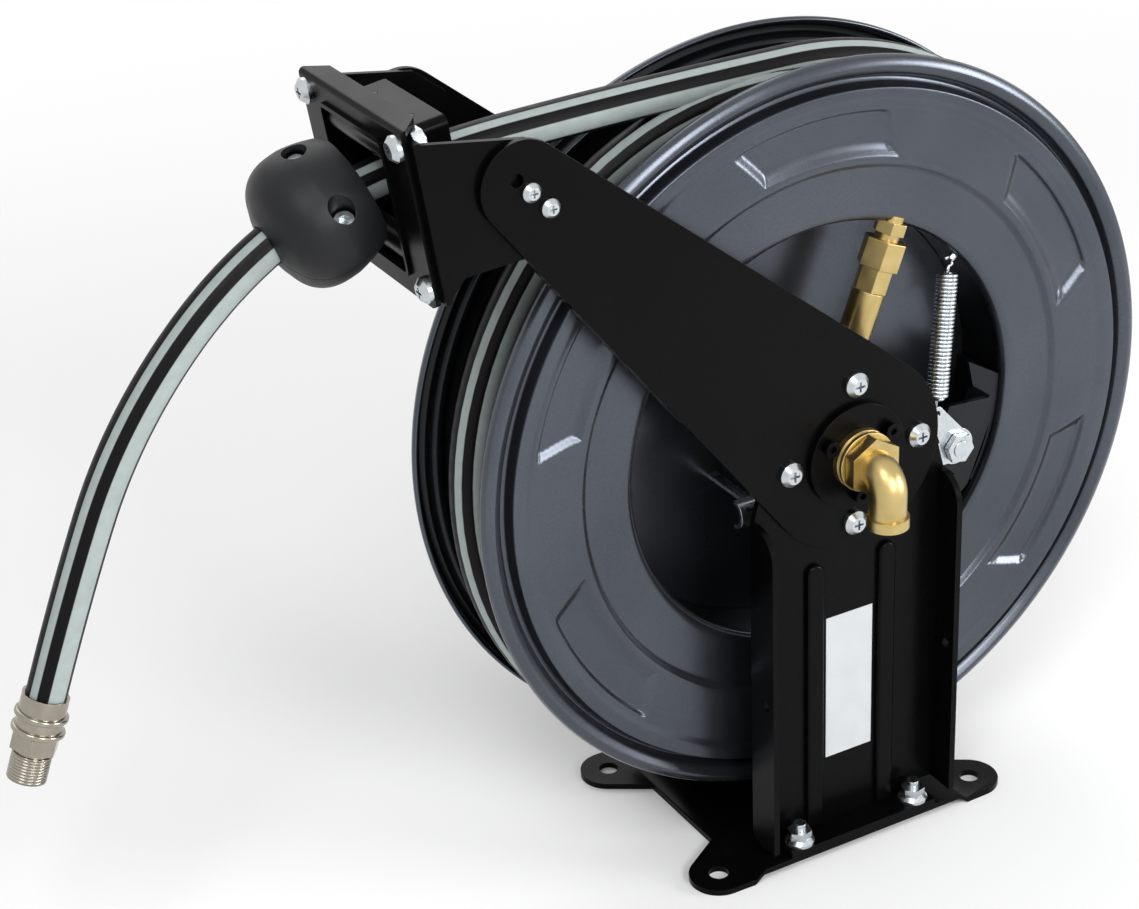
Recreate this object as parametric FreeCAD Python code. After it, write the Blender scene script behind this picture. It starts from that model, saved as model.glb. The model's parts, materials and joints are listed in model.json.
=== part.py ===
import FreeCAD, Part
import os
from math import acos, atan2, cos, degrees, hypot, pi, radians, sin, sqrt, tan

os.makedirs("parts", exist_ok=True)

V = FreeCAD.Vector
UP = V(0, 0, 1)
ALONG = V(0, 1, 0)

# Open spring-rewind hose reel. The drum turns on a fixed shaft along Y, and the hose leaves
# over the top of the drum towards -X. The origin is the middle of the four foot holes, on the floor.

# ---- driving sizes, mm ----
HOSE_D = 17.0              # rubber hose outside diameter
HOSE_GAP = 0.4             # air between the standing hose and the wound hose
AXIS_Z = 203.3             # height of the drum's shaft
SHEET = 3.0                # frame sheet
# drum
DISC_R = 175.0             # rolled rim of a side disc
DISC_SHEET = 1.5
RIM_Y = 35.3               # flat ring of a disc, from the drum's middle plane
CORE_R = 103.5             # outside of the barrel that the hose is wound on
CORE_WALL = 2.0
PAD_DEPTH = 2.5            # pressed pads and pressed inner ring of a disc
PAD_COUNT = 6
PAD_HALF_DEG = 15.5
PAD_LEAN_DEG = 4.5         # the pad's ends lean by this much between its two edges
PAD_FIRST_DEG = 31.5
WEB_Y = 1.0                # front face of the web plate inside the barrel
WEB_RISE = 2.0             # pressed ring of the web, towards the front
# hose pack
COLUMN_PITCH = 19.0        # side by side
LAYER_PITCH = 17.2         # one layer on the next
# shaft and bearings
SHAFT_R = 10.0
RUN_FIT = 0.05             # radial play of a turning fit
BUSH_WALL = 3.0
HUB_WALL = 3.0
# frame
PEDESTAL_FACE_Y = 51.3     # outer face of a pedestal's web
PEDESTAL_HALF_W = 51.5
PEDESTAL_TOP_R = 44.0
FLANGE_DEPTH = 15.0
FLANGE_TOP_Z = AXIS_Z - 22.3
FLANGE_FOOT_Z = 13.0
FOOT_HALF_W = 41.0
FOOT_DEPTH = 14.2
STUD_X = 32.5
STUD_Y = PEDESTAL_FACE_Y + 7.7
RIB_X = 19.7
RIB_W = 9.4
RIB_H = 2.6
RIB_Z = (11.0, AXIS_Z - 51.3)
LABEL = (25.6, 75.5, 45.5)  # width, height, height of its lower edge
# arms
ARM_BIG_R = 45.7
ARM_SMALL_R = 19.0
ARM_X = -157.0
ARM_Z = AXIS_Z + 161.7
ARM_FLANGE = 9.0           # outside depth of the folded edges
ARM_FLANGE_START = 82.0    # from the shaft's axis, clear of the pawl's nut
ARM_FLANGE_END = 188.0
HUB_SCREW_R = 34.2
HUB_SCREW_D = 6.0
# base
EAR_X = 72.7
EAR_Y = PEDESTAL_FACE_Y - 0.2
EAR_HOLE_R = 4.75
EAR_R = 14.0
BASE_HALF = (61.5, STUD_Y + 6.5)
PANEL_H = 7.0              # top of the raised panel
PANEL_SLOPE = 5.0
# hose guide
GUIDE_X = -199.5
GUIDE_Z = AXIS_Z + 153.7
GUIDE_TILT = 7.9           # degrees that its top leans away from the drum
GUIDE_HALF = (47.0, 38.5)
GUIDE_SHEET = 2.5
GUIDE_CORNER = 5.0
HOOD_DEPTH = 10.5
HOOD_TRIM = 9.0            # the hood's ends slant in by this much
HOOD_FOLD_R = 2.4
LIP_DEPTH = 8.0
GUIDE_SCREW = (41.5, 30.5)
ROLLER_R = 5.6
ROLLER_PIN_R = 2.0
ROLLER_GAP = (16.5, 22.0)  # roller axes from the window's middle: across, up and down
ROLLER_DEPTH = 6.0         # axes of the level rollers behind the plate's front face
ROLLER_STEP = 0.6          # air between the level rollers and the upright ones behind them
CAGE_WALL = 2.0
CAGE_AIR = 0.4             # between a level roller and the cage
CAGE_HALF = (29.0, ROLLER_GAP[1] + ROLLER_R + CAGE_AIR + CAGE_WALL)
CAGE_CORNER = 4.0
CAGE_FRONT = -1.5          # the cage stands out of the window by this much
CAGE_BACK = 28.0
# stop ball
BALL_MID = (-221.3, 351.7)
BALL_R = 28.9
BALL_BACK = 17.0
BALL_BACK_R = 24.0
BALL_FRONT = 24.0
BALL_ROLL_DEG = 35.0       # the split is turned by this much about the hose
BALL_BOLT_OUT = 16.0       # bolts beside the hose
BALL_BOLT_BACK = 3.0       # and behind the ball's middle
BALL_BOLT_SEAT = 9.0
BALL_BOLT_R = 2.5
# hose end
FERRULE_R = 10.3
THREAD_R = 8.3             # R3/8 taper thread, mean outside radius
THREAD_LEN = 12.0
END_NUT = 18.0
END_BORE_R = 4.5
# inlet
SWIVEL_R = 14.0
SWIVEL_LEN = 7.0
STUB_R = 7.0               # stub that the elbow turns on
STUB_LEN = 5.0
ELBOW_NUT = 6.2
INLET_DEPTH = 12.0
INLET_TUBE_R = 8.4
INLET_COLLAR = (1.2, 5.0)  # how far it stands out, and its length
INLET_BEND = 9.0
INLET_BORE_R = 5.9         # G1/4 tapping size
INLET_END_Z = AXIS_Z - 24.3
ELBOW_HEX = 24.0
BORE_R = 5.0               # water way
# brass line inside the drum
LINE_DEG = 68.3
LINE_Y = -28.5
JOINT_HALF = 11.0          # half length of the rotary joint
TAIL_HOLE_R = 8.2          # opening in the front disc's lip for the hose tail
# ratchet
RATCHET_Y = (-44.0, -41.0)
RATCHET_R = 40.0
RATCHET_ROOT_R = 33.0
RATCHET_TEETH = 12
RATCHET_FIRST_DEG = -13.0
PAWL_X = 64.5
PAWL_Z = AXIS_Z - 19.2
PAWL_NOSE = 31.0
PAWL_NOSE_DEG = 191.4
PAWL_EYE = (-11.5, 19.5)   # from its pivot
PAWL_BODY_R = 9.0
PAWL_EYE_R = 3.6
PAWL_BOLT_R = 4.0
PAWL_BOLT_FLATS = 13.0
PAWL_GAP = 0.5             # between the pawl and its bracket
BRACKET_SHEET = 2.5
BRACKET_STEP = 12.0        # from the tab back to the wing
TAB = ((-1.9, 19.4), (22.9, 17.6), (3.5, -18.0), (-9.0, -6.0), (-9.0, 6.0))  # from the pivot
WING = ((20.5, 18.5), (17.6, 32.0), (35.4, 21.2), (35.0, 7.5), (19.0, -32.0), (13.7, -36.6), (2.0, -17.0))
SPRING_TOP = (70.0, -27.0, AXIS_Z + 65.7)
SPRING_R = 5.2
SPRING_WIRE_R = 0.9
# flat spring can
CASE_R = 80.0
CASE_DEPTH = 24.5
CASE_BOLT_IN = 5.0         # cover screws, in from the can's wall
# screws of the guide on the arms: a spare hole and two screws, from the shaft's axis
ARM_HOLE_STEPS = (229.5, 221.5, 210.0)
ARM_HOLE_R = 2.8

# The free length of hose from its first turn in the drum to the thread at its end, in x, y, z.
LEADER = [(20.0, 0.0, 350.3), (-61.0, 0.0, 350.6), (-150.8, 0.0, 265.8), (-153.2, 0.0, 139.8),
          (-64.5, 0.0, 47.5), (65.4, 0.0, 45.3), (160.0, 0.0, 137.0), (162.0, 0.0, 270.4),
          (68.2, 0.0, 367.9), (-70.0, 0.0, 368.6), (-193.0, 0.0, 364.5), (-258.0, 0.0, 338.5),
          (-312.0, 0.0, 282.0), (-344.0, 0.0, 213.0), (-363.7, 0.0, 161.7)]
ARC_SHARE = 0.45           # share of the shorter run that each bend takes

# ---- worked-out sizes ----
HOSE_R = HOSE_D / 2
LAYER_R = [CORE_R + 0.3 + HOSE_R + n * LAYER_PITCH for n in range(4)]
LANE_HALF = HOSE_R + 1.1   # free lane in the hose pack for the standing turn
ARM_FACE_Y = PEDESTAL_FACE_Y + SHEET
FLANGE_FACE_Y = ARM_FACE_Y + SHEET
RING_R = (LAYER_R[1] - 2.0, LAYER_R[2] + 6.0)
LINE_A = radians(LINE_DEG)
LINE_DIR = V(cos(LINE_A), 0, sin(LINE_A))
CASE_Y = (WEB_Y + DISC_SHEET, WEB_Y + DISC_SHEET + CASE_DEPTH)
WALL_R = CORE_R - CORE_WALL - DISC_SHEET - 0.2   # inside of a disc's lip, with a little air
UPRIGHT_DEPTH = ROLLER_DEPTH + 2 * ROLLER_R + ROLLER_STEP
PAWL_PIVOT = (PAWL_X, PAWL_Z)
TAB_Y = RATCHET_Y[1] + PAWL_GAP


def save(name, shape):
    """Write one piece, checked to be sound."""
    if not shape.isValid():
        shape.fix(1e-4, 1e-4, 1e-3)
    solids = shape.Solids
    shape = solids[0] if len(solids) == 1 else Part.makeCompound(solids)
    print(f"{name:28s} solids {len(solids):3d} volume {shape.Volume:11.1f} valid {shape.isValid()}")
    shape.exportStep(f"parts/{name}.step")
    return shape


def axis_point(y=0.0):
    return V(0, y, AXIS_Z)


def polar(radius, deg, y=0.0):
    return V(radius * cos(radians(deg)), y, AXIS_Z + radius * sin(radians(deg)))


def rod(start, direction, radius, length):
    """Round bar from a point, along a direction."""
    return Part.makeCylinder(radius, length, start, direction)


def tube(start, direction, outer, inner, length):
    return rod(start, direction, outer, length).cut(rod(start, direction, inner, length))


def ring_y(y0, y1, outer, inner):
    """Ring round the shaft's axis between two planes."""
    return tube(axis_point(y0), ALONG, outer, inner, y1 - y0)


def box(x0, x1, y0, y1, z0, z1):
    return Part.makeBox(x1 - x0, y1 - y0, z1 - z0, V(x0, y0, z0))


def joined(shapes):
    """One solid from pieces that touch or overlap."""
    return shapes[0].multiFuse(shapes[1:]).removeSplitter() if len(shapes) > 1 else shapes[0]


def hexagon(start, direction, flats, length, turn=0.0):
    """Hexagonal bar measured across its flats."""
    direction = V(direction).normalize()
    side = direction.cross(V(0, 1, 0)) if abs(direction.y) < 0.9 else V(1, 0, 0)
    side.normalize()
    other = direction.cross(side)
    reach = flats / 2 / cos(pi / 6)
    points = []
    for corner in range(7):
        angle = radians(60 * corner + turn)
        points.append(start + side * (reach * cos(angle)) + other * (reach * sin(angle)))
    return Part.Face(Part.makePolygon(points)).extrude(direction * length)


def plate_xz(points, y0, y1):
    """Flat plate from corner points (x, z), between two y planes."""
    corners = [V(x, y0, z) for x, z in points]
    return Part.Face(Part.makePolygon(corners + corners[:1])).extrude(V(0, y1 - y0, 0))


def bar_xz(start, half_start, end, half_end, y0, y1):
    """Flat tapering bar between two places (x, z), with its half width at each."""
    dx, dz = end[0] - start[0], end[1] - start[1]
    length = hypot(dx, dz)
    side = (-dz / length, dx / length)
    corners = [(place[0] + side[0] * half, place[1] + side[1] * half)
               for place, half in ((start, half_start), (end, half_end), (end, -half_end), (start, -half_start))]
    return plate_xz(corners, y0, y1)


def tangent_points(centre, radius, point):
    """The two places where lines from a point touch a circle, both in a plane."""
    dx, dz = point[0] - centre[0], point[1] - centre[1]
    span, base = hypot(dx, dz), atan2(dz, dx)
    half = acos(radius / span)
    return [(centre[0] + radius * cos(base + s * half), centre[1] + radius * sin(base + s * half))
            for s in (1, -1)]


def mirrored(shape):
    """The same piece on the other side of the drum."""
    return shape.mirror(V(0, 0, 0), V(0, 1, 0))


# ---------------------------------------------------------------- base
def base_plate():
    """Pressed foot plate: raised middle, sloping creases and four round lugs on the floor."""
    half_x, half_y = BASE_HALF
    reach = EAR_X + EAR_R + 1
    low = half_x - PANEL_SLOPE
    rise = PANEL_H - SHEET
    section = [(-reach, 0), (-half_x, 0), (-low, rise), (low, rise), (half_x, 0), (reach, 0),
               (reach, SHEET), (half_x - 1, SHEET), (low - 1, PANEL_H), (1 - low, PANEL_H),
               (1 - half_x, SHEET), (-reach, SHEET)]
    sheet = plate_xz(section, -half_y, half_y)
    plan = box(-half_x, half_x, -half_y, half_y, -1, PANEL_H + 1)
    for sx in (1, -1):
        for sy in (1, -1):
            plan = plan.fuse(ear(sx, sy, half_x, half_y))
    shape = sheet.common(plan.removeSplitter())
    for sx in (1, -1):
        for sy in (1, -1):
            shape = shape.cut(rod(V(sx * EAR_X, sy * EAR_Y, -1), UP, EAR_HOLE_R, SHEET + 2))
            shape = shape.cut(rod(V(sx * STUD_X, sy * STUD_Y, -1), UP, 4.0, PANEL_H + 2))
    return shape.removeSplitter()


def ear(sx, sy, half_x, half_y):
    """Plan of a rounded lug that holds one foot hole."""
    height = PANEL_H + 2
    centre = (sx * EAR_X, sy * EAR_Y)
    corners = [(sx * (half_x - 12), sy * half_y), (sx * half_x, sy * (EAR_Y - 24))]
    outer = tangent_points(centre, EAR_R, corners[0])
    inner = tangent_points(centre, EAR_R, corners[1])
    touch_outer = max(outer, key=lambda p: sy * p[1])
    touch_inner = max(inner, key=lambda p: sx * p[0])
    outline = [corners[0], touch_outer, centre, touch_inner, corners[1], (sx * (half_x - 12), sy * (EAR_Y - 24))]
    points = [V(x, y, -1) for x, y in outline]
    web = Part.Face(Part.makePolygon(points + points[:1])).extrude(V(0, 0, height))
    return web.fuse(rod(V(centre[0], centre[1], -1), UP, EAR_R, height))


# ---------------------------------------------------------------- pedestals
def pedestal():
    """Front pedestal: web, two side flanges turned outwards, a foot and two pressed ribs."""
    y_in, y_out = -(PEDESTAL_FACE_Y - SHEET), -PEDESTAL_FACE_Y
    w = PEDESTAL_HALF_W
    shoulder = FLANGE_TOP_Z - AXIS_Z
    left, right = [], []
    for side, store in ((-1, left), (1, right)):
        pair = tangent_points((0, 0), PEDESTAL_TOP_R, (side * w, shoulder))
        store.append(max(pair, key=lambda p: p[1]))
    lower = plate_xz([(-w, PANEL_H), (w, PANEL_H), (w, FLANGE_TOP_Z),
                      (right[0][0], AXIS_Z + right[0][1]), (0, AXIS_Z),
                      (left[0][0], AXIS_Z + left[0][1]), (-w, FLANGE_TOP_Z)], y_out, y_in)
    lower = lower.cut(box(-w - 1, -FOOT_HALF_W, y_out - 1, y_in + 1, 0, FLANGE_FOOT_Z))
    lower = lower.cut(box(FOOT_HALF_W, w + 1, y_out - 1, y_in + 1, 0, FLANGE_FOOT_Z))
    top = rod(axis_point(y_out), ALONG, PEDESTAL_TOP_R, SHEET)
    pieces = [lower, top, foot(y_out)]
    for side in (-1, 1):
        pieces.append(side_flange(side, y_in))
        pieces.append(rib(side * RIB_X, y_out))
    shape = joined(pieces)
    shape = shape.cut(rod(axis_point(y_out - 1), ALONG, SHAFT_R + 2.0, SHEET + 2))
    for k in range(4):
        shape = shape.cut(rod(polar(HUB_SCREW_R, 90 * k, y_out - 1), ALONG, HUB_SCREW_D / 2 + 0.3, SHEET + 2))
    for side in (-1, 1):
        shape = shape.cut(rod(V(side * STUD_X, -STUD_Y, PANEL_H - 1), UP, 4.0, SHEET + 2))
    return shape


def foot(y_out):
    return box(-FOOT_HALF_W, FOOT_HALF_W, y_out - FOOT_DEPTH, y_out + SHEET, PANEL_H, PANEL_H + SHEET)


def side_flange(side, y_in):
    """Edge of the pedestal turned outwards, with a rounded upper corner and a small hole."""
    x0, x1 = sorted((side * PEDESTAL_HALF_W, side * (PEDESTAL_HALF_W - SHEET)))
    depth = FLANGE_DEPTH + SHEET
    shape = box(x0, x1, y_in - depth, y_in, FLANGE_FOOT_Z, FLANGE_TOP_Z)
    corner = FLANGE_DEPTH - 1.0
    notch = box(x0, x1, y_in - depth, y_in - depth + corner, FLANGE_TOP_Z - corner, FLANGE_TOP_Z)
    keep = rod(V(x0, y_in - depth + corner, FLANGE_TOP_Z - corner), V(1, 0, 0), corner, SHEET)
    shape = shape.cut(notch.cut(keep))
    hole = rod(V(x0 - 1, y_in - depth + 6.0, 92.0), V(1, 0, 0), 2.5, SHEET + 2)
    return shape.cut(hole)


def rib(x, y_out):
    """Pressed rib with round ends, standing out of the web."""
    z0, z1 = RIB_Z
    half = RIB_W / 2
    body = box(x - half, x + half, y_out - RIB_H, y_out + 0.5, z0, z1 - half)
    body = body.fuse(rod(V(x, y_out - RIB_H, z1 - half), ALONG, half, RIB_H + 0.5)).removeSplitter()
    face_edges = [e for e in body.Edges if abs(e.BoundBox.YMin - (y_out - RIB_H)) < 1e-6
                  and e.BoundBox.YLength < 1e-6 and e.BoundBox.ZMin > z0 - 1 and e.BoundBox.ZLength > 0.1]
    return body.makeFillet(1.6, face_edges)


def foot_studs():
    """Weld studs that hold the pedestals down."""
    pieces = []
    for sx in (-1, 1):
        for sy in (-1, 1):
            pieces.append(rod(V(sx * STUD_X, sy * STUD_Y, PANEL_H - SHEET), UP, 3.9, SHEET))
            pieces[-1] = pieces[-1].fuse(rod(V(sx * STUD_X, sy * STUD_Y, PANEL_H), UP, 3.9, SHEET))
            pieces[-1] = pieces[-1].fuse(rod(V(sx * STUD_X, sy * STUD_Y, PANEL_H + SHEET), UP, 3.0, 10.5))
            pieces[-1] = pieces[-1].removeSplitter()
    return Part.makeCompound(pieces)


def foot_nuts():
    """Flanged hexagon nuts on the studs."""
    pieces = []
    seat = PANEL_H + SHEET
    for sx in (-1, 1):
        for sy in (-1, 1):
            at = V(sx * STUD_X, sy * STUD_Y, seat)
            nut = rod(at, UP, 7.0, 1.4).fuse(hexagon(at + UP * 1.4, UP, 10.0, 5.4, 15))
            cone = Part.makeCone(7.0, 5.2, 1.6, at + UP * 1.4, UP)
            nut = nut.fuse(cone).removeSplitter()
            pieces.append(nut.cut(rod(at - UP, UP, 3.0 + RUN_FIT, 12)))
    return Part.makeCompound(pieces)


# ---------------------------------------------------------------- arms
def arm():
    """Front arm: a tapering plate with both long edges folded towards the drum."""
    y_out, y_in = -ARM_FACE_Y, -(ARM_FACE_Y - SHEET)
    span = hypot(ARM_X, ARM_Z - AXIS_Z)
    along = V(ARM_X / span, 0, (ARM_Z - AXIS_Z) / span)
    slope = acos((ARM_BIG_R - ARM_SMALL_R) / span)
    base = degrees(atan2(along.z, along.x))
    corners, folds = [], []
    for side in (1, -1):
        normal_deg = base + side * degrees(slope)
        big = polar(ARM_BIG_R, normal_deg, y_out)
        small = V(ARM_X, y_out, ARM_Z) + (polar(ARM_SMALL_R, normal_deg) - axis_point())
        corners.append((big, small))
        folds.append(fold(big, small, normal_deg, y_out))
    outline = [corners[0][0], corners[0][1], V(ARM_X, y_out, ARM_Z), corners[1][1], corners[1][0],
               axis_point(y_out)]
    plate = Part.Face(Part.makePolygon(outline + outline[:1])).extrude(V(0, y_in - y_out, 0))
    ends = [rod(axis_point(y_out), ALONG, ARM_BIG_R, SHEET), rod(V(ARM_X, y_out, ARM_Z), ALONG, ARM_SMALL_R, SHEET)]
    shape = joined([plate] + ends + folds)
    shape = shape.cut(rod(axis_point(y_out - 1), ALONG, SHAFT_R + 2.0, SHEET + 2))
    for k in range(4):
        shape = shape.cut(rod(polar(HUB_SCREW_R, 90 * k, y_out - 1), ALONG, HUB_SCREW_D / 2 + 0.3, SHEET + 2))
    for place in arm_holes(y_out - 1):
        shape = shape.cut(rod(place, ALONG, ARM_HOLE_R, SHEET + 2))
    return shape


def fold(big, small, normal_deg, y_out):
    """Folded edge between two corner points of the arm."""
    run = (small - big)
    length = run.Length
    run.normalize()
    inward = V(-cos(radians(normal_deg)), 0, -sin(radians(normal_deg)))
    start = big + run * ARM_FLANGE_START
    stop = big + run * min(ARM_FLANGE_END, length)
    points = [start, stop, stop + inward * SHEET, start + inward * SHEET]
    strip = Part.Face(Part.makePolygon(points + points[:1])).extrude(V(0, ARM_FLANGE, 0))
    return strip


def arm_holes(y):
    span = hypot(ARM_X, ARM_Z - AXIS_Z)
    return [V(ARM_X / span * s, y, AXIS_Z + (ARM_Z - AXIS_Z) / span * s) for s in ARM_HOLE_STEPS]


def pan_screw(seat, direction, radius, head_r, head_h, length):
    """Cross-recess pan-head screw; its head stands on the seat, its shank goes along the direction."""
    direction = V(direction).normalize()
    back = direction * -1
    head = rod(seat, back, head_r, head_h * 0.45)
    dome = Part.makeCone(head_r, head_r * 0.62, head_h * 0.55, seat + back * (head_h * 0.45), back)
    shape = joined([head, dome, rod(seat, direction, radius, length)])
    top = seat + back * head_h
    side = direction.cross(UP) if abs(direction.z) < 0.9 else V(1, 0, 0)
    side.normalize()
    other = direction.cross(side)
    for first, second in ((side, other), (other, side)):
        reach, half = head_r * 0.42, head_r * 0.09
        corner = top - first * reach - second * half
        points = [corner, corner + first * reach * 2, corner + first * reach * 2 + second * half * 2,
                  corner + second * half * 2]
        slot = Part.Face(Part.makePolygon(points + points[:1])).extrude(direction * (head_h * 0.5))
        shape = shape.cut(slot)
    return shape


def hub_screws():
    """Eight screws that hold the arms to the pedestals."""
    pieces = []
    for k in range(4):
        screw = pan_screw(polar(HUB_SCREW_R, 90 * k, -ARM_FACE_Y), ALONG, HUB_SCREW_D / 2, 5.8, 4.2,
                          2 * SHEET + 2.6)
        pieces += [screw, mirrored(screw)]
    return Part.makeCompound(pieces)


def hub_nuts():
    """Thin clinch nuts on the inner face of the pedestals."""
    pieces = []
    for k in range(4):
        at = polar(HUB_SCREW_R, 90 * k, -(PEDESTAL_FACE_Y - SHEET))
        nut = hexagon(at, ALONG, 10.0, 2.8, 30).cut(rod(at, ALONG, HUB_SCREW_D / 2 + RUN_FIT, 4))
        pieces += [nut, mirrored(nut)]
    return Part.makeCompound(pieces)


# ---------------------------------------------------------------- shaft and bearings
def bearing_flange():
    """Round flange that holds the front end of the shaft."""
    shape = ring_y(-FLANGE_FACE_Y, -ARM_FACE_Y, 25.0, SHAFT_R + RUN_FIT)
    shape = shape.fuse(ring_y(-ARM_FACE_Y, -(PEDESTAL_FACE_Y - SHEET), SHAFT_R + 1.9, SHAFT_R + RUN_FIT))
    for deg in (30, 150, 270):
        shape = shape.cut(rod(polar(18.5, deg, -FLANGE_FACE_Y - 1), ALONG, 2.2, SHEET + 1))
    return shape.removeSplitter()


def flange_screws():
    """Socket-head screws of both flanges."""
    pieces = []
    for deg in (30, 150, 270):
        seat = polar(18.5, deg, -FLANGE_FACE_Y)
        screw = rod(seat, ALONG * -1, 3.6, 4.0).fuse(rod(seat, ALONG, 2.1, SHEET))
        screw = screw.cut(hexagon(seat - ALONG * 4.1, ALONG, 3.0, 2.4)).removeSplitter()
        pieces += [screw, mirrored(screw)]
    return Part.makeCompound(pieces)


def shaft():
    """Fixed shaft, drilled for water from its front end to the rotary joint."""
    y0 = -FLANGE_FACE_Y
    shape = rod(axis_point(y0), ALONG, SHAFT_R, 2 * FLANGE_FACE_Y)
    shape = shape.cut(rod(axis_point(y0 - 1), ALONG, BORE_R, LINE_Y - y0 + 1 + BORE_R))
    port = rod(axis_point(LINE_Y) - LINE_DIR * (SHAFT_R + 2), LINE_DIR, 3.0, 2 * SHAFT_R + 4)
    return shape.cut(port)


def shaft_end_cap():
    """Round cap on the rear end of the shaft."""
    shape = rod(axis_point(FLANGE_FACE_Y), ALONG, SHAFT_R + 3.0, 4.0)
    return shape.makeFillet(1.5, [e for e in shape.Edges if e.BoundBox.YMin > FLANGE_FACE_Y + 3.9])


def swivel_body():
    """Brass body on the shaft's front end, with the stub that the elbow turns on."""
    y0 = -FLANGE_FACE_Y
    body = rod(axis_point(y0 - SWIVEL_LEN), ALONG, SWIVEL_R, SWIVEL_LEN)
    body = body.fuse(rod(axis_point(y0 - SWIVEL_LEN - STUB_LEN), ALONG, STUB_R, STUB_LEN))
    groove = ring_y(y0 - 5.0, y0 - 3.8, SWIVEL_R + 1, SWIVEL_R - 0.8)
    bore = rod(axis_point(y0 - SWIVEL_LEN - STUB_LEN - 1), ALONG, BORE_R, SWIVEL_LEN + STUB_LEN + 2)
    return body.cut(groove).cut(bore).removeSplitter()


def inlet_elbow():
    """Brass elbow: hexagon, tight bend, and an outlet with a tapped hole facing down."""
    y0 = -FLANGE_FACE_Y - SWIVEL_LEN - 0.3
    bend_y = y0 - ELBOW_NUT
    corner = V(0, bend_y, AXIS_Z - INLET_BEND)
    leg_y = bend_y - INLET_BEND
    length = AXIS_Z - INLET_BEND - INLET_END_Z
    nut = hexagon(axis_point(bend_y), ALONG, ELBOW_HEX, ELBOW_NUT, 30)
    bend = Part.Face(Part.Wire(Part.makeCircle(INLET_TUBE_R, axis_point(bend_y), ALONG)))
    bend = bend.revolve(corner, V(1, 0, 0), 90)
    leg = rod(V(0, leg_y, INLET_END_Z), UP, INLET_TUBE_R, length)
    collar = rod(V(0, leg_y, INLET_END_Z), UP, INLET_TUBE_R + INLET_COLLAR[0], INLET_COLLAR[1])
    shape = joined([nut, bend, leg, collar])
    water = Part.Face(Part.Wire(Part.makeCircle(BORE_R, axis_point(bend_y), ALONG)))
    water = water.revolve(corner, V(1, 0, 0), 90)
    into = rod(axis_point(bend_y), ALONG, BORE_R, ELBOW_NUT)
    down = rod(V(0, leg_y, INLET_END_Z), UP, BORE_R, length)
    tapped = rod(V(0, leg_y, INLET_END_Z), UP, INLET_BORE_R, INLET_DEPTH)
    pocket = rod(axis_point(y0 - STUB_LEN - 0.4), ALONG, STUB_R + RUN_FIT, STUB_LEN + 0.4)
    return shape.cut(joined([water, into, down, tapped, pocket]))


def rotary_joint():
    """Brass body that turns with the drum round the drilled shaft."""
    inner = SHAFT_R + RUN_FIT
    shape = ring_y(LINE_Y - JOINT_HALF, LINE_Y + JOINT_HALF, SHAFT_R + 7.0, inner)
    shape = shape.cut(ring_y(LINE_Y - 3.5, LINE_Y + 3.5, inner + 1.6, inner - 0.1))
    return shape.cut(rod(axis_point(LINE_Y), LINE_DIR, 7.5, 40))


def joint_seals():
    """Two rubber rings at the ends of the rotary joint, on the shaft."""
    pieces = []
    for y in (LINE_Y - JOINT_HALF - 1.2, LINE_Y + JOINT_HALF + 0.1):
        pieces.append(ring_y(y, y + 1.1, SHAFT_R + 4.0, SHAFT_R + RUN_FIT))
    return Part.makeCompound(pieces)


# ---------------------------------------------------------------- brass line in the drum
def line_piece(r0, r1, shape_of):
    start = axis_point(LINE_Y) + LINE_DIR * r0
    return shape_of(start, r1 - r0)


def outlet_sleeve():
    start = axis_point(LINE_Y) + LINE_DIR * (SHAFT_R + 2.0)
    shape = rod(start, LINE_DIR, 7.5, 68.0 - SHAFT_R - 2.0)
    shape = shape.cut(rod(axis_point(LINE_Y - 20), ALONG, SHAFT_R + RUN_FIT + 1.6, 40))
    return shape.cut(rod(axis_point(LINE_Y), LINE_DIR, 4.5, 80))


def union_nipple():
    body = line_piece(68.0, 79.0, lambda s, n: hexagon(s, LINE_DIR, 14.0, n))
    return body.cut(rod(axis_point(LINE_Y), LINE_DIR, 4.5, 90))


def union_nut():
    body = line_piece(79.0, 92.0, lambda s, n: hexagon(s, LINE_DIR, 17.5, n))
    return body.cut(rod(axis_point(LINE_Y), LINE_DIR, 4.5, 100))


def hose_tail():
    """Neck, hexagon and barb that pass through the barrel."""
    neck = line_piece(92.0, 95.0, lambda s, n: rod(s, LINE_DIR, 5.6, n))
    nut = line_piece(95.0, CORE_R - CORE_WALL - 1.0, lambda s, n: hexagon(s, LINE_DIR, 13.0, n))
    barb = line_piece(95.0, CORE_R - 0.2, lambda s, n: rod(s, LINE_DIR, 5.0, n))
    return joined([neck, nut, barb]).cut(rod(axis_point(LINE_Y), LINE_DIR, 3.5, 120))


# ---------------------------------------------------------------- drum
def profile_points():
    """Half section of a side disc, from its lip outwards: radius and distance from mid plane."""
    lip = CORE_R - CORE_WALL
    inner = RIM_Y - PAD_DEPTH
    r0, r1 = RING_R
    return [(lip - DISC_SHEET, inner - 9.0), (lip - DISC_SHEET, inner - 3.4), (lip - 0.1, inner - 1.0),
            (lip + 2.6, inner), (r0 - 4.0, inner), (r0, RIM_Y), (r1, RIM_Y), (r1 + 3.0, RIM_Y + 1.2),
            (r1 + 6.0, RIM_Y + 1.0), (DISC_R - 11.5, RIM_Y - 2.6), (DISC_R - 9.0, RIM_Y - 3.0),
            (DISC_R - 6.5, RIM_Y - 0.6), (DISC_R - 3.6, RIM_Y + 0.9), (DISC_R - 1.0, RIM_Y - 0.3),
            (DISC_R, RIM_Y - 3.0), (DISC_R - 0.6, RIM_Y - 5.4)]


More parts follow.
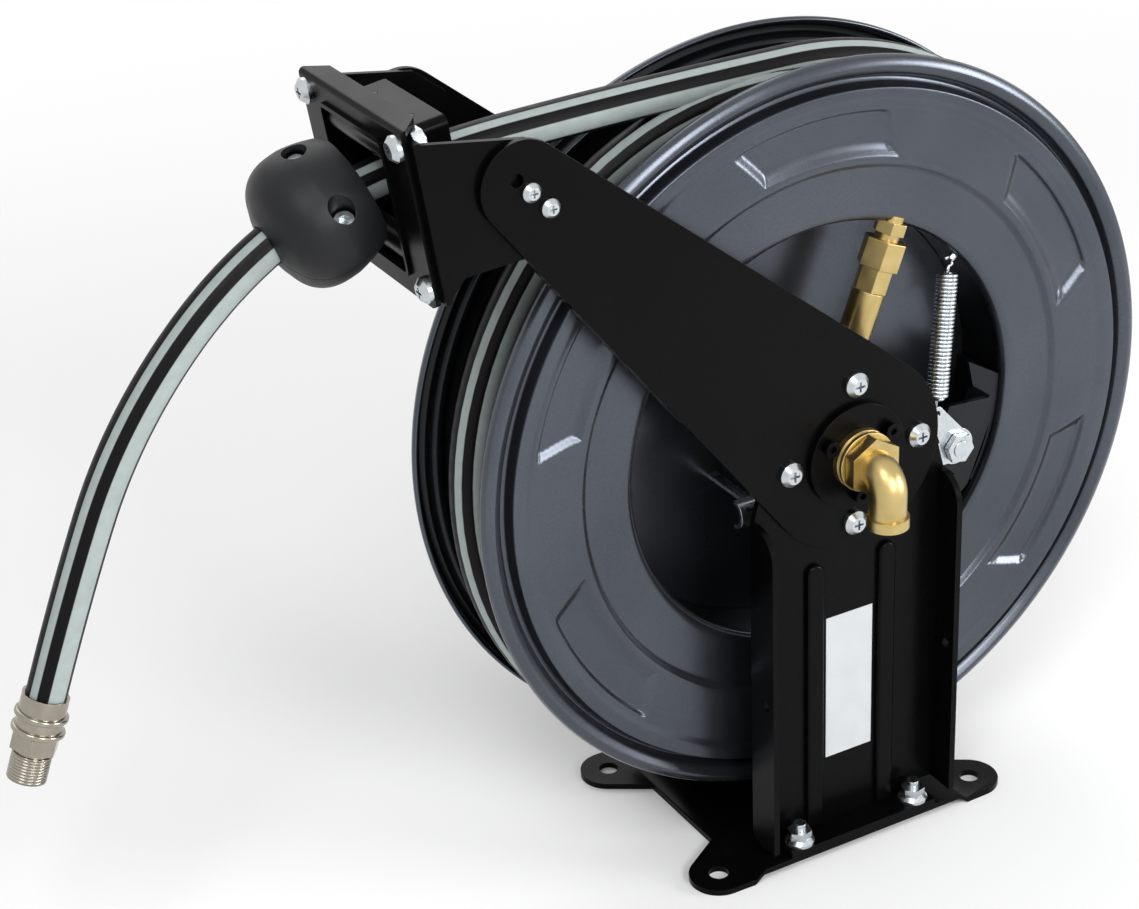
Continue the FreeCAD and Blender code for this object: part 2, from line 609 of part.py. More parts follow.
def sheet_outline(points, thickness):
    """Closed outline of bent sheet from its outer face; the sheet lies on the mid-plane side."""
    inner = []
    for i, (r, y) in enumerate(points):
        before = points[max(i - 1, 0)]
        after = points[min(i + 1, len(points) - 1)]
        first = unit(before, (r, y)) if i else unit((r, y), after)
        second = unit((r, y), after) if i < len(points) - 1 else first
        normal = ((first[1] + second[1]) / 2, -(first[0] + second[0]) / 2)
        size = hypot(*normal)
        stretch = thickness / max(size * size, 0.5)
        inner.append((r + normal[0] * stretch, y + normal[1] * stretch))
    return points + inner[::-1]


def unit(a, b):
    length = hypot(b[0] - a[0], b[1] - a[1])
    return ((b[0] - a[0]) / length, (b[1] - a[1]) / length)


def revolved(points, side=-1):
    """Turn a half section (radius, distance) round the shaft; side -1 is the front."""
    corners = [V(r, side * y, AXIS_Z) for r, y in points]
    face = Part.Face(Part.makePolygon(corners + corners[:1]))
    return face.revolve(axis_point(), ALONG, 360)


def pad_wire(mid_deg, grow, y):
    """Outline of one pressed pad with leaning ends."""
    r0, r1 = RING_R[0] + 3.0 - grow, RING_R[1] - 1.0 + grow
    half, lean = PAD_HALF_DEG + degrees(grow / r1), PAD_LEAN_DEG / 2
    a = [polar(r0, mid_deg - half - lean, y), polar(r1, mid_deg - half + lean, y),
         polar(r1, mid_deg + half + lean, y), polar(r0, mid_deg + half - lean, y)]
    outer = Part.Arc(a[1], polar(r1, mid_deg + lean, y), a[2]).toShape()
    inner = Part.Arc(a[3], polar(r0, mid_deg - lean, y), a[0]).toShape()
    return Part.Wire([Part.LineSegment(a[0], a[1]).toShape(), outer,
                      Part.LineSegment(a[2], a[3]).toShape(), inner])


def side_disc():
    """Pressed side disc with rolled rim, pressed inner ring and six pressed pads."""
    shape = revolved(sheet_outline(profile_points(), DISC_SHEET))
    slope = PAD_DEPTH * 0.8
    pans, pockets = [], []
    for k in range(PAD_COUNT):
        mid = PAD_FIRST_DEG + 360 / PAD_COUNT * k
        pans.append(Part.makeLoft([pad_wire(mid, 1.0, -RIM_Y + DISC_SHEET - 0.4),
                                   pad_wire(mid, 1.0 - slope, -RIM_Y + DISC_SHEET + PAD_DEPTH)], True, True))
        pockets.append(Part.makeLoft([pad_wire(mid, 0.0, -RIM_Y),
                                      pad_wire(mid, -slope, -RIM_Y + PAD_DEPTH)], True, True))
    return shape.multiFuse(pans).cut(Part.makeCompound(pockets))


def drum_core():
    """Barrel that the hose is wound on."""
    half = RIM_Y - PAD_DEPTH - DISC_SHEET - 2.8
    shape = ring_y(-half, half, CORE_R, CORE_R - CORE_WALL)
    return shape.cut(rod(axis_point(LINE_Y), LINE_DIR, 5.2, CORE_R + 5))


def drum_web():
    """Plate that joins the barrel to the hub, with a pressed ring."""
    inner = SHAFT_R + BUSH_WALL + HUB_WALL
    outer = CORE_R - CORE_WALL
    raised = WEB_RISE - WEB_Y
    section = [(inner, -WEB_Y), (40.0, -WEB_Y), (44.0, raised), (84.0, raised),
               (88.0, -WEB_Y), (outer, -WEB_Y)]
    back = [(r, y - DISC_SHEET) for r, y in section]
    return revolved(section + back[::-1])


def hub(y0, y1):
    return ring_y(y0, y1, SHAFT_R + BUSH_WALL + HUB_WALL, SHAFT_R + BUSH_WALL)


def bush(y0, y1):
    """Plain bearing bush."""
    return ring_y(y0, y1, SHAFT_R + BUSH_WALL, SHAFT_R + RUN_FIT)


def spring_case():
    """Open can on the rear of the web that holds the flat spring."""
    wall = ring_y(CASE_Y[0], CASE_Y[1], CASE_R, CASE_R - DISC_SHEET)
    floor = ring_y(CASE_Y[0], CASE_Y[0] + DISC_SHEET, CASE_R, SHAFT_R + BUSH_WALL + HUB_WALL)
    return wall.fuse(floor).removeSplitter()


def spring_cover():
    """Lid of the spring can."""
    hole = SHAFT_R + BUSH_WALL + HUB_WALL
    section = [(hole, CASE_Y[1] + 2.5), (CASE_R - 14, CASE_Y[1] + 2.5), (CASE_R - 10, CASE_Y[1]),
               (CASE_R + 8, CASE_Y[1])]
    back = [(r, y + DISC_SHEET) for r, y in section]
    shape = revolved(section + back[::-1], 1)
    for k in range(6):
        shape = shape.cut(rod(polar(CASE_R - CASE_BOLT_IN, 60 * k + 15, CASE_Y[1] - 1), ALONG, 2.2, 6))
    return shape


def cover_screws():
    pieces = []
    for k in range(6):
        seat = polar(CASE_R - CASE_BOLT_IN, 60 * k + 15, CASE_Y[1] + DISC_SHEET)
        pieces.append(pan_screw(seat, ALONG * -1, 2.0, 4.2, 2.8, 6.0))
    return Part.makeCompound(pieces)


def power_spring():
    """Flat spiral spring in the can, from half turns on two centres."""
    inner, pitch, strip, half_turns = 20.5, 3.9, 1.2, 26
    y0, y1 = CASE_Y[0] + 3.0, CASE_Y[1] - 2.0
    edges = []
    ends = []
    for grow in (0.0, strip):
        for k in range(half_turns):
            radius = inner + pitch / 2 * k + grow
            side = 1 if k % 2 == 0 else -1
            centre = V(pitch / 2 if k % 2 else 0.0, y0, AXIS_Z)
            a, b = centre + V(side * radius, 0, 0), centre - V(side * radius, 0, 0)
            edges.append(Part.Arc(a, centre + V(0, 0, side * radius), b).toShape())
            if k == 0:
                ends.append(a)
            if k == half_turns - 1:
                ends.append(b)
    edges.append(Part.LineSegment(ends[0], ends[2]).toShape())
    edges.append(Part.LineSegment(ends[1], ends[3]).toShape())
    wire = Part.Wire(Part.__sortEdges__(edges))
    return Part.Face(wire).extrude(V(0, y1 - y0, 0))


def spring_arbor():
    """Sleeve on the fixed shaft that the inner end of the spring hooks on."""
    y0, y1 = CASE_Y[0] + 3.0, CASE_Y[1] - 2.0
    shape = ring_y(y0, y1, SHAFT_R + 7.0, SHAFT_R)
    slot = box(SHAFT_R + 3.0, SHAFT_R + 8.0, y0 - 1, y1 + 1, AXIS_Z - 0.8, AXIS_Z + 0.8)
    return shape.cut(slot)


def hose_winding():
    """Outer shape of the hose wound on the drum, with a lane left for the standing turn."""
    side = COLUMN_PITCH + HOSE_R + 0.5
    low, mid, top = CORE_R + 0.1, LAYER_R[1] + HOSE_R + 0.1, LAYER_R[3] + HOSE_R + 0.1
    section = [(low, side), (top, side), (top, LANE_HALF), (mid, LANE_HALF), (mid, -side), (low, -side)]
    return revolved(section)


# ---------------------------------------------------------------- ratchet
def ratchet_wheel():
    """Saw-toothed wheel fixed on the shaft."""
    y0, y1 = RATCHET_Y
    step = 360 / RATCHET_TEETH
    points = []
    for k in range(RATCHET_TEETH):
        root = RATCHET_FIRST_DEG - k * step
        points.append(polar(RATCHET_ROOT_R, root, y0))
        points.append(polar((RATCHET_ROOT_R + RATCHET_R) / 2, root - step / 2, y0))
        points.append(polar(RATCHET_R, root - step + 1.5, y0))
    shape = Part.Face(Part.makePolygon(points + points[:1])).extrude(V(0, y1 - y0, 0))
    return shape.cut(rod(axis_point(y0 - 1), ALONG, SHAFT_R, y1 - y0 + 2))


def pawl_eye():
    return (PAWL_X + PAWL_EYE[0], PAWL_Z + PAWL_EYE[1])


def pawl():
    """Pawl plate: a round body on its bolt, a nose towards the wheel and an eye for its spring."""
    y0, y1 = RATCHET_Y
    nose = radians(PAWL_NOSE_DEG)
    tip = (PAWL_X + PAWL_NOSE * cos(nose), PAWL_Z + PAWL_NOSE * sin(nose))
    eye = pawl_eye()
    shape = joined([rod(V(PAWL_X, y0, PAWL_Z), ALONG, PAWL_BODY_R, y1 - y0),
                    rod(V(eye[0], y0, eye[1]), ALONG, PAWL_EYE_R, y1 - y0),
                    bar_xz(PAWL_PIVOT, PAWL_BODY_R - 1.0, eye, PAWL_EYE_R, y0, y1),
                    bar_xz(PAWL_PIVOT, PAWL_BODY_R - 1.0, tip, 1.6, y0, y1)])
    shape = shape.cut(rod(V(PAWL_X, y0 - 1, PAWL_Z), ALONG, PAWL_BOLT_R + RUN_FIT, y1 - y0 + 2))
    return shape.cut(rod(V(eye[0], y0 - 1, eye[1]), ALONG, 1.6, y1 - y0 + 2))


def from_pivot(corners):
    return [(PAWL_X + x, PAWL_Z + z) for x, z in corners]


def pawl_bracket():
    """Bent bracket: a tab for the pawl's bolt, a step back, a wing and a leg along the barrel's wall."""
    tab = plate_xz(from_pivot(TAB), TAB_Y, TAB_Y + BRACKET_SHEET)
    wing_y = TAB_Y + BRACKET_STEP
    wing = plate_xz(from_pivot(WING), wing_y, wing_y + BRACKET_SHEET)
    upper, lower = from_pivot(TAB[1:3])
    span = hypot(upper[0] - lower[0], upper[1] - lower[1])
    inward = (-(upper[1] - lower[1]) / span, (upper[0] - lower[0]) / span)
    step = plate_xz([upper, lower] + [(place[0] + inward[0] * BRACKET_SHEET, place[1] + inward[1] * BRACKET_SHEET)
                                      for place in (lower, upper)], TAB_Y, wing_y + BRACKET_SHEET)
    leg = ring_y(wing_y, WEB_Y - 0.2, WALL_R, WALL_R - 2.0)
    wedge = plate_xz([(0, AXIS_Z), (130, AXIS_Z - 75), (130, AXIS_Z + 2)], wing_y, WEB_Y - 0.2)
    wing = wing.common(rod(axis_point(wing_y), ALONG, WALL_R, BRACKET_SHEET))
    shape = joined([tab, step, wing, leg.common(wedge)])
    return shape.cut(rod(V(PAWL_X, TAB_Y - 1, PAWL_Z), ALONG, PAWL_BOLT_R, BRACKET_SHEET + 2))


def pawl_bolt():
    """Hexagon bolt that the pawl turns on."""
    front = RATCHET_Y[0] - 3.9
    head_y = TAB_Y + BRACKET_SHEET
    shape = rod(V(PAWL_X, front, PAWL_Z), ALONG, PAWL_BOLT_R, head_y - front)
    return shape.fuse(hexagon(V(PAWL_X, head_y, PAWL_Z), ALONG, PAWL_BOLT_FLATS, 4.5)).removeSplitter()


def pawl_nut():
    """Thin locking nut in front of the pawl."""
    at = V(PAWL_X, RATCHET_Y[0] - 3.5, PAWL_Z)
    return hexagon(at, ALONG, PAWL_BOLT_FLATS, 3.2, 10).cut(rod(at, ALONG, PAWL_BOLT_R, 4))


def pawl_spring():
    """Closed-coil tension spring from the pawl's eye to the barrel, as its outer shape."""
    eye_x, eye_z = pawl_eye()
    eye = V(eye_x, (RATCHET_Y[0] + RATCHET_Y[1]) / 2, eye_z)
    run = V(*SPRING_TOP) - eye
    length = run.Length
    run.normalize()
    hook = PAWL_EYE_R + 0.4
    coil = PAWL_EYE_R + 2.5
    body = rod(eye + run * coil, run, SPRING_R, length - coil - 5.0)
    return joined([body, rod(eye + run * hook, run, SPRING_WIRE_R, length - hook)])


def spring_anchor():
    """Small hooked pin in the barrel for the spring's upper end."""
    top = V(*SPRING_TOP)
    outward = V(top.x, 0, top.z - AXIS_Z)
    reach = CORE_R - CORE_WALL - DISC_SHEET - outward.Length
    outward.normalize()
    return rod(top + outward * 1.0, outward, 1.8, max(reach - 1.2, 1.0))


def drum_clip():
    """Wire-thin leg on the web with a wide hooked end."""
    x, z, front = -41.0, AXIS_Z - 21.5, -29.0
    leg = box(x - 2.5, x + 2.5, front, WEB_Y - WEB_RISE, z - 1.0, z + 1.0)
    hook = tube(V(x - 6.5, front, z - 6.0), V(1, 0, 0), 7.0, 5.0, 13.0)
    return joined([leg, hook.common(box(x - 7, x + 7, front - 11, front, z - 14, z + 2))])


# ---------------------------------------------------------------- hose guide
def guide_place(shape):
    """Move a piece from the guide's own frame (depth, across, up) to its place."""
    shape = shape.copy()
    shape.rotate(V(0, 0, 0), ALONG, -GUIDE_TILT)
    shape.translate(V(GUIDE_X, 0, GUIDE_Z))
    return shape


def cage_block(half_y, half_z, front, back, corner):
    """Square block through the window, with rounded long edges."""
    block = box(front, back, -half_y, half_y, -half_z, half_z)
    return block.makeFillet(corner, [e for e in block.Edges if e.BoundBox.XLength > back - front - 0.01])


def guide_front_plate():
    """Guide plate with its window, a hood folded back along its top and a short lip below."""
    half_y, half_z = GUIDE_HALF
    s = GUIDE_SHEET
    plate = box(0, s, -half_y, half_y, -half_z, half_z)
    corners = [e for e in plate.Edges if e.BoundBox.XLength > s - 0.01 and e.BoundBox.YLength < 0.01
               and e.BoundBox.ZLength < 0.01 and e.BoundBox.ZMin < 0]
    plate = plate.makeFillet(GUIDE_CORNER, corners)
    narrow = half_y - HOOD_TRIM
    outline = [V(x, y, half_z - s) for x, y in ((0, -half_y), (s, -half_y), (HOOD_DEPTH, -narrow),
                                                (HOOD_DEPTH, narrow), (s, half_y), (0, half_y))]
    hood = Part.Face(Part.makePolygon(outline + outline[:1])).extrude(V(0, 0, s))
    lip = box(0, LIP_DEPTH, -half_y + 12, half_y - 12, -half_z, -half_z + s)
    shape = joined([plate, hood, lip])
    fold = [e for e in shape.Edges if e.BoundBox.XMax < 0.01 and e.BoundBox.ZMin > half_z - 0.01]
    shape = shape.makeFillet(HOOD_FOLD_R, fold)
    shape = shape.cut(cage_block(*CAGE_HALF, -1, s + 1, CAGE_CORNER))
    for sy in (-1, 1):
        for sz in (-1, 1):
            shape = shape.cut(rod(V(-1, sy * GUIDE_SCREW[0], sz * GUIDE_SCREW[1]), V(1, 0, 0), 3.3, s + 2))
    return guide_place(shape)


def guide_side_plate():
    """Front side plate: a tab behind the guide plate and a cheek bolted inside the arm."""
    y_out, y_in = -PEDESTAL_FACE_Y, -(PEDESTAL_FACE_Y - SHEET)
    tab = guide_place(box(GUIDE_SHEET, GUIDE_SHEET + SHEET, y_out, -GUIDE_SCREW[0] + 6.5,
                          -GUIDE_HALF[1] + 3, GUIDE_HALF[1] - 5))
    tilt = radians(GUIDE_TILT)
    top, low = GUIDE_HALF[1] - 5, -GUIDE_HALF[1] + 3
    x_top = GUIDE_X + GUIDE_SHEET * cos(tilt) - top * sin(tilt)
    x_low = GUIDE_X + GUIDE_SHEET * cos(tilt) - low * sin(tilt)
    z_top = GUIDE_Z + GUIDE_SHEET * sin(tilt) + top * cos(tilt)
    z_low = GUIDE_Z + GUIDE_SHEET * sin(tilt) + low * cos(tilt)
    cheek = plate_xz([(x_top, z_top), (ARM_X + 4, ARM_Z + 18), (ARM_X + 19, ARM_Z + 6),
                      (ARM_X + 22, ARM_Z - 22), (ARM_X + 8, ARM_Z - 31), (ARM_X - 26, ARM_Z - 33),
                      (x_low, z_low)], y_out, y_in)
    shape = joined([tab, cheek])
    for place in arm_holes(y_out - 1)[1:]:
        shape = shape.cut(rod(place, ALONG, ARM_HOLE_R, SHEET + 2))
    holes = [rod(V(-1, -GUIDE_SCREW[0], sz * GUIDE_SCREW[1]), V(1, 0, 0), 3.3, 10) for sz in (-1, 1)]
    return shape.cut(guide_place(Part.makeCompound(holes)))


def guide_corner_screws():
    pieces = []
    for sy in (-1, 1):
        for sz in (-1, 1):
            seat = V(0, sy * GUIDE_SCREW[0], sz * GUIDE_SCREW[1])
            screw = pan_screw(seat, V(1, 0, 0), 3.0, 5.6, 4.0, GUIDE_SHEET + SHEET + 6.0)
            pieces.append(guide_place(screw))
    return Part.makeCompound(pieces)


def guide_corner_nuts():
    pieces = []
    for sy in (-1, 1):
        for sz in (-1, 1):
            at = V(GUIDE_SHEET + SHEET, sy * GUIDE_SCREW[0], sz * GUIDE_SCREW[1])
            nut = hexagon(at, V(1, 0, 0), 10.0, 5.0, 30).cut(rod(at, V(1, 0, 0), 3.0 + RUN_FIT, 6))
            pieces.append(guide_place(nut))
    return Part.makeCompound(pieces)


def guide_arm_screws():
    """Two screws on each side that hold the guide to the arms."""
    pieces = []
    for place in arm_holes(-ARM_FACE_Y)[1:]:
        screw = pan_screw(place, ALONG, 2.5, 4.1, 3.2, 2 * SHEET + 4.5)
        pieces += [screw, mirrored(screw)]
    return Part.makeCompound(pieces)


def guide_arm_nuts():
    pieces = []
    for place in arm_holes(-(PEDESTAL_FACE_Y - SHEET))[1:]:
        nut = hexagon(place, ALONG, 8.0, 4.0, 15).cut(rod(place, ALONG, 2.5 + RUN_FIT, 5))
        pieces += [nut, mirrored(nut)]
    return Part.makeCompound(pieces)


def roller_cage():
    """Square tube through the window that holds the roller pins."""
    hy, hz = CAGE_HALF
    w = CAGE_WALL
    shape = cage_block(hy, hz, CAGE_FRONT, CAGE_BACK, CAGE_CORNER)
    shape = shape.cut(cage_block(hy - w, hz - w, CAGE_FRONT - 1, CAGE_BACK + 1, CAGE_CORNER - w))
    for axis_start, direction, length in pin_lines():
        shape = shape.cut(rod(axis_start, direction, ROLLER_PIN_R, length))
    return guide_place(shape)


def pin_lines():
    """Start, direction and length of the four roller pins: upper, lower, front, rear."""
    hy, hz = CAGE_HALF
    lines = [(V(ROLLER_DEPTH, -hy, sz * ROLLER_GAP[1]), ALONG, 2 * hy) for sz in (1, -1)]
    lines += [(V(UPRIGHT_DEPTH, sy * ROLLER_GAP[0], -hz), UP, 2 * hz) for sy in (-1, 1)]
    return lines


def roller_pins():
    pieces = [rod(at, direction, ROLLER_PIN_R, length) for at, direction, length in pin_lines()]
    return guide_place(Part.makeCompound(pieces))


def roller(index):
    """Plain roller with a slightly thinner end at each side."""
    at, direction, length = pin_lines()[index]
    end_gap = CAGE_WALL + 0.8
    body = rod(at + direction * end_gap, direction, ROLLER_R, length - 2 * end_gap)
    body = body.makeChamfer(0.6, [e for e in body.Edges if len(e.Vertexes) == 1])
    return guide_place(body.cut(rod(at, direction, ROLLER_PIN_R + RUN_FIT, length)))


# ---------------------------------------------------------------- hose and what is on it
def bent_path(points, share):
    """Straight runs joined by tangent arcs; also gives the arc radii and the length."""
    pts = [V(*p) for p in points]
    edges, radii, last, length = [], [], pts[0], 0.0
    for i in range(1, len(pts) - 1):
        before, after = pts[i - 1] - pts[i], pts[i + 1] - pts[i]
        cut = share * min(before.Length, after.Length)
        turn = pi - before.getAngle(after)
        radius = cut / tan(turn / 2)
        before.normalize()
        after.normalize()
        a, b = pts[i] + before * cut, pts[i] + after * cut
        inner = (before + after).normalize()
        centre = pts[i] + inner * (radius / cos(turn / 2))
        middle = centre - inner * radius
        edges.append(Part.LineSegment(last, a).toShape())
        edges.append(Part.Arc(a, middle, b).toShape())
        radii.append(radius)
        length += (a - last).Length + radius * turn
        last = b
    edges.append(Part.LineSegment(last, pts[-1]).toShape())
    length += (pts[-1] - last).Length
    return Part.Wire(edges), radii, length


def hose_tube(radius):
    path, radii, length = bent_path(LEADER, ARC_SHARE)
    start, ahead = V(*LEADER[0]), V(*LEADER[1]) - V(*LEADER[0])
    section = Part.Wire(Part.makeCircle(radius, start, ahead))
    return path.makePipeShell([section], True, False), radii, length


def hose_leader():
    shape, radii, length = hose_tube(HOSE_R)
    expected = pi * HOSE_R ** 2 * length
    print("leader bend radii", [round(r) for r in radii])
    print(f"leader length {length:.1f} volume share {shape.Volume / expected:.4f}")
    return shape


def end_direction():
    return (V(*LEADER[-1]) - V(*LEADER[-2])).normalize()


def ferrule():
    """Pressed sleeve over the last part of the hose, with two raised beads."""
    run, end = end_direction(), V(*LEADER[-1])
    body = rod(end - run * 14.0, run, FERRULE_R - 0.5, 17.0)
    for at in (-6.5, 0.2):
        bead = rod(end + run * at, run, FERRULE_R + 0.9, 2.6)
        body = body.fuse(bead.makeFillet(1.0, [e for e in bead.Edges if len(e.Vertexes) == 1]))
    body = body.cut(rod(end - run * 15.0, run, HOSE_R + RUN_FIT, 15.0 + RUN_FIT))
    return body.cut(rod(end - run, run, END_BORE_R + 1.5, 6.0)).removeSplitter()


def end_nipple():
    """Hexagon and taper thread at the end of the hose; the thread is a plain rod of its mean size."""
    run, end = end_direction(), V(*LEADER[-1])
    spigot = rod(end + run * 0.2, run, END_BORE_R + 1.45, 3.0)
    nut = hexagon(end + run * 3.0, run, END_NUT, 7.5)
    neck = rod(end + run * 10.5, run, THREAD_R - 1.0, 1.5)
    thread = rod(end + run * 12.0, run, THREAD_R, THREAD_LEN)
    return joined([spigot, nut, neck, thread]).cut(rod(end - run, run, END_BORE_R, 13.0 + THREAD_LEN + 1.0))


def ball_frame():
    """Middle of the stop ball, the direction of the hose there, and the way its bolts point."""
    axis = (V(*LEADER[11]) - V(*LEADER[10])).normalize()
    roll = radians(BALL_ROLL_DEG)
    across = V(axis.z, 0, -axis.x)
    return V(BALL_MID[0], 0, BALL_MID[1]), axis, across * cos(roll) - ALONG * sin(roll)


def ball_bolt_places():
    """Middle of each bolt, in the split plane."""
    middle, axis, up = ball_frame()
    beside = up.cross(axis)
    return [middle - axis * BALL_BOLT_BACK + beside * (side * BALL_BOLT_OUT) for side in (-1, 1)]


def ball_body():
    """Round rubber stop: flat back, widest at its middle, blunt domed front."""
    middle, axis, up = ball_frame()

    def at(along, radius):
        return middle + axis * along + up * radius
    dome = Part.BSplineCurve()
    dome.interpolate([at(BALL_FRONT * share, BALL_R * width) for share, width in
                      ((0, 1.0), (0.39, 0.98), (0.61, 0.907), (0.846, 0.70), (0.925, 0.544), (1.0, 0.32))],
                     InitialTangent=axis * 20, FinalTangent=up * -20 + axis * 2)
    back = at(-BALL_BACK, BALL_BACK_R)
    shoulder = at(-BALL_BACK / 2, (BALL_R + BALL_BACK_R) / 2 + 0.7)
    edges = [Part.LineSegment(at(-BALL_BACK, 0), back).toShape(),
             Part.Arc(back, shoulder, at(0, BALL_R)).toShape(), dome.toShape(),
             Part.LineSegment(at(BALL_FRONT, BALL_R * 0.32), at(BALL_FRONT, 0)).toShape(),
             Part.LineSegment(at(BALL_FRONT, 0), at(-BALL_BACK, 0)).toShape()]
    body = Part.Face(Part.Wire(edges)).revolve(middle, axis, 360)
    bore, _, _ = hose_tube(HOSE_R + RUN_FIT)
    return Part.Solid(body).cut(bore) if body.ShapeType != "Solid" else body.cut(bore)


def ball_halves():
    """Two halves with recessed bolt holes across them."""
    middle, axis, up = ball_frame()
    body = ball_body()
    for at in ball_bolt_places():
        body = body.cut(rod(at - up * 40, up, BALL_BOLT_R + 0.1, 80))
        body = body.cut(rod(at + up * BALL_BOLT_SEAT, up, 5.2, 40))
        body = body.cut(rod(at - up * BALL_BOLT_SEAT, up * -1, 5.4, 40))
    half_gap, reach = 0.15, 2 * BALL_R
    return [body.common(rod(middle + up * (side * half_gap), up * side, reach, reach)) for side in (1, -1)]


def ball_bolts():
    """Socket-head bolts from the upper half."""
    _, _, up = ball_frame()
    pieces = []
    for at in ball_bolt_places():
        seat = at + up * BALL_BOLT_SEAT
        head = rod(seat, up, 4.2, 4.6).cut(hexagon(seat + up * 2.2, up, 4.0, 3.0))
        shank = rod(seat - up * (2.5 * BALL_BOLT_SEAT), up, BALL_BOLT_R, 2.5 * BALL_BOLT_SEAT)
        pieces.append(head.fuse(shank).removeSplitter())
    return Part.makeCompound(pieces)


def ball_nuts():
    """Nuts in the lower half."""
    _, _, up = ball_frame()
    pieces = []
    for at in ball_bolt_places():
        seat = at - up * BALL_BOLT_SEAT
        nut = hexagon(seat, up * -1, 8.0, 4.0).cut(rod(seat, up * -1, BALL_BOLT_R + RUN_FIT, 5))
        pieces.append(nut)
    return Part.makeCompound(pieces)


def blank_label():
    width, height, z0 = LABEL
    return box(-width / 2, width / 2, -PEDESTAL_FACE_Y - 0.25, -PEDESTAL_FACE_Y, z0, z0 + height)


def build_frame():
    save("base_plate", base_plate())
    front = pedestal()
    save("front_pedestal", front)
    save("rear_pedestal", mirrored(front))
    save("foot_studs", foot_studs())
    save("foot_nuts", foot_nuts())
    front = arm()
    save("front_arm", front)
    save("rear_arm", mirrored(front))
    save("hub_screws", hub_screws())
    save("hub_nuts", hub_nuts())
    flange = bearing_flange()
    save("front_bearing_flange", flange)
    save("rear_bearing_flange", mirrored(flange))
    save("flange_screws", flange_screws())
    save("shaft", shaft())
    save("shaft_end_cap", shaft_end_cap())
    save("swivel_body", swivel_body())
    save("inlet_elbow", inlet_elbow())
    save("ratchet_wheel", ratchet_wheel())
    save("spring_arbor", spring_arbor())
    save("blank_label", blank_label())


def build_guide():
    save("guide_front_plate", guide_front_plate())
    side = guide_side_plate()
    save("front_guide_cheek", side)
    save("rear_guide_cheek", mirrored(side))
    save("guide_screws", Part.makeCompound([guide_corner_screws(), guide_arm_screws()]))
    save("guide_nuts", Part.makeCompound([guide_corner_nuts(), guide_arm_nuts()]))
    save("roller_cage", roller_cage())
    save("roller_pins", roller_pins())
    for index, name in enumerate(("upper_roller", "lower_roller", "front_roller", "rear_roller")):
        save(name, roller(index))


def build_drum():
    disc = side_disc()
    save("front_disc", disc.cut(rod(axis_point(LINE_Y), LINE_DIR, TAIL_HOLE_R, CORE_R)))
    save("rear_disc", mirrored(disc))
    save("drum_core", drum_core())
    save("drum_web", drum_web())
    hub_front = (LINE_Y + 13.5, WEB_Y + DISC_SHEET + 1.2)
    hub_rear = (CASE_Y[1] + 0.5, RIM_Y + 2.0)
    save("hub_sleeves", Part.makeCompound([hub(*hub_front), hub(*hub_rear)]))
    save("hub_bushes", Part.makeCompound([bush(*hub_front), bush(*hub_rear)]))
    save("rotary_joint", rotary_joint())
    save("joint_seals", joint_seals())
    save("outlet_sleeve", outlet_sleeve())
    save("union_nipple", union_nipple())
    save("union_nut", union_nut())
    save("hose_tail", hose_tail())
    save("spring_case", spring_case())
    save("spring_cover", spring_cover())
    save("cover_screws", cover_screws())
    save("power_spring", power_spring())
    save("pawl_bracket", pawl_bracket())
    save("pawl_bolt", Part.makeCompound([pawl_bolt(), pawl_nut()]))
    save("pawl", pawl())
    save("pawl_spring", pawl_spring())
    save("spring_anchor", spring_anchor())
    save("drum_clip", drum_clip())
    save("hose_winding", hose_winding())


def build_hose():
    save("hose_leader", hose_leader())
    upper, lower = ball_halves()
    save("stop_ball_upper", upper)
    save("stop_ball_lower", lower)
    save("stop_ball_bolts", Part.makeCompound([ball_bolts(), ball_nuts()]))
    save("hose_ferrule", ferrule())
    save("hose_end_nipple", end_nipple())


build_frame()
build_guide()
build_drum()
build_hose()
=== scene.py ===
import json
import logging
import math
from dataclasses import dataclass, field
from enum import Enum

import bpy
import numpy as np
from mathutils import Matrix, Vector

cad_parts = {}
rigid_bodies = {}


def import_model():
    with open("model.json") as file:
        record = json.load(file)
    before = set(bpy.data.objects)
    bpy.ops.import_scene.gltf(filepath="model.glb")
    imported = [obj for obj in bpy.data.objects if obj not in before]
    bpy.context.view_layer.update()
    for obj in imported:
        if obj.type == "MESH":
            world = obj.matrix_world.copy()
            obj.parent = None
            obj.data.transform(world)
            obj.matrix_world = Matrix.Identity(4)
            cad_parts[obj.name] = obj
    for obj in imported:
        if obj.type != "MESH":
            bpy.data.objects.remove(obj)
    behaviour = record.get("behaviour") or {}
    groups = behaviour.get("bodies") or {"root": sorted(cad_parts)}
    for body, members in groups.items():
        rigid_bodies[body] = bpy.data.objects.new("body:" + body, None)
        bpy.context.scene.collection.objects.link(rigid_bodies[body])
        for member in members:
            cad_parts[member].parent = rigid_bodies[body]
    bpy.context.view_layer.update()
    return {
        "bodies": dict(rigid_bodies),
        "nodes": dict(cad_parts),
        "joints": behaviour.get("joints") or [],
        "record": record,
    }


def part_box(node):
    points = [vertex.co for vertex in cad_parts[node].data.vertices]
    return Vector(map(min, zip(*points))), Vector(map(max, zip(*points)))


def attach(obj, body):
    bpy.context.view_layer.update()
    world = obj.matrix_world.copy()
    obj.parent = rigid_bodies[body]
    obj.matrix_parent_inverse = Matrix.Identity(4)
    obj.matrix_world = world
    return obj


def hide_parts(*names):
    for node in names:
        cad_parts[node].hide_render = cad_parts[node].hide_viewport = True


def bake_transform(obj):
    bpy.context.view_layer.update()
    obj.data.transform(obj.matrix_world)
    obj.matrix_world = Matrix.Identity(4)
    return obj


LOG = logging.getLogger("hose_reel")
MM = 0.001
Tree = bpy.types.NodeTree
Socket = bpy.types.NodeSocket
Point = tuple[float, float, float]


class Body(Enum):
    """Moving bodies of the reel that new pieces ride on."""

    FRAME = "frame"
    DRUM = "drum"
    PAWL = "pawl"


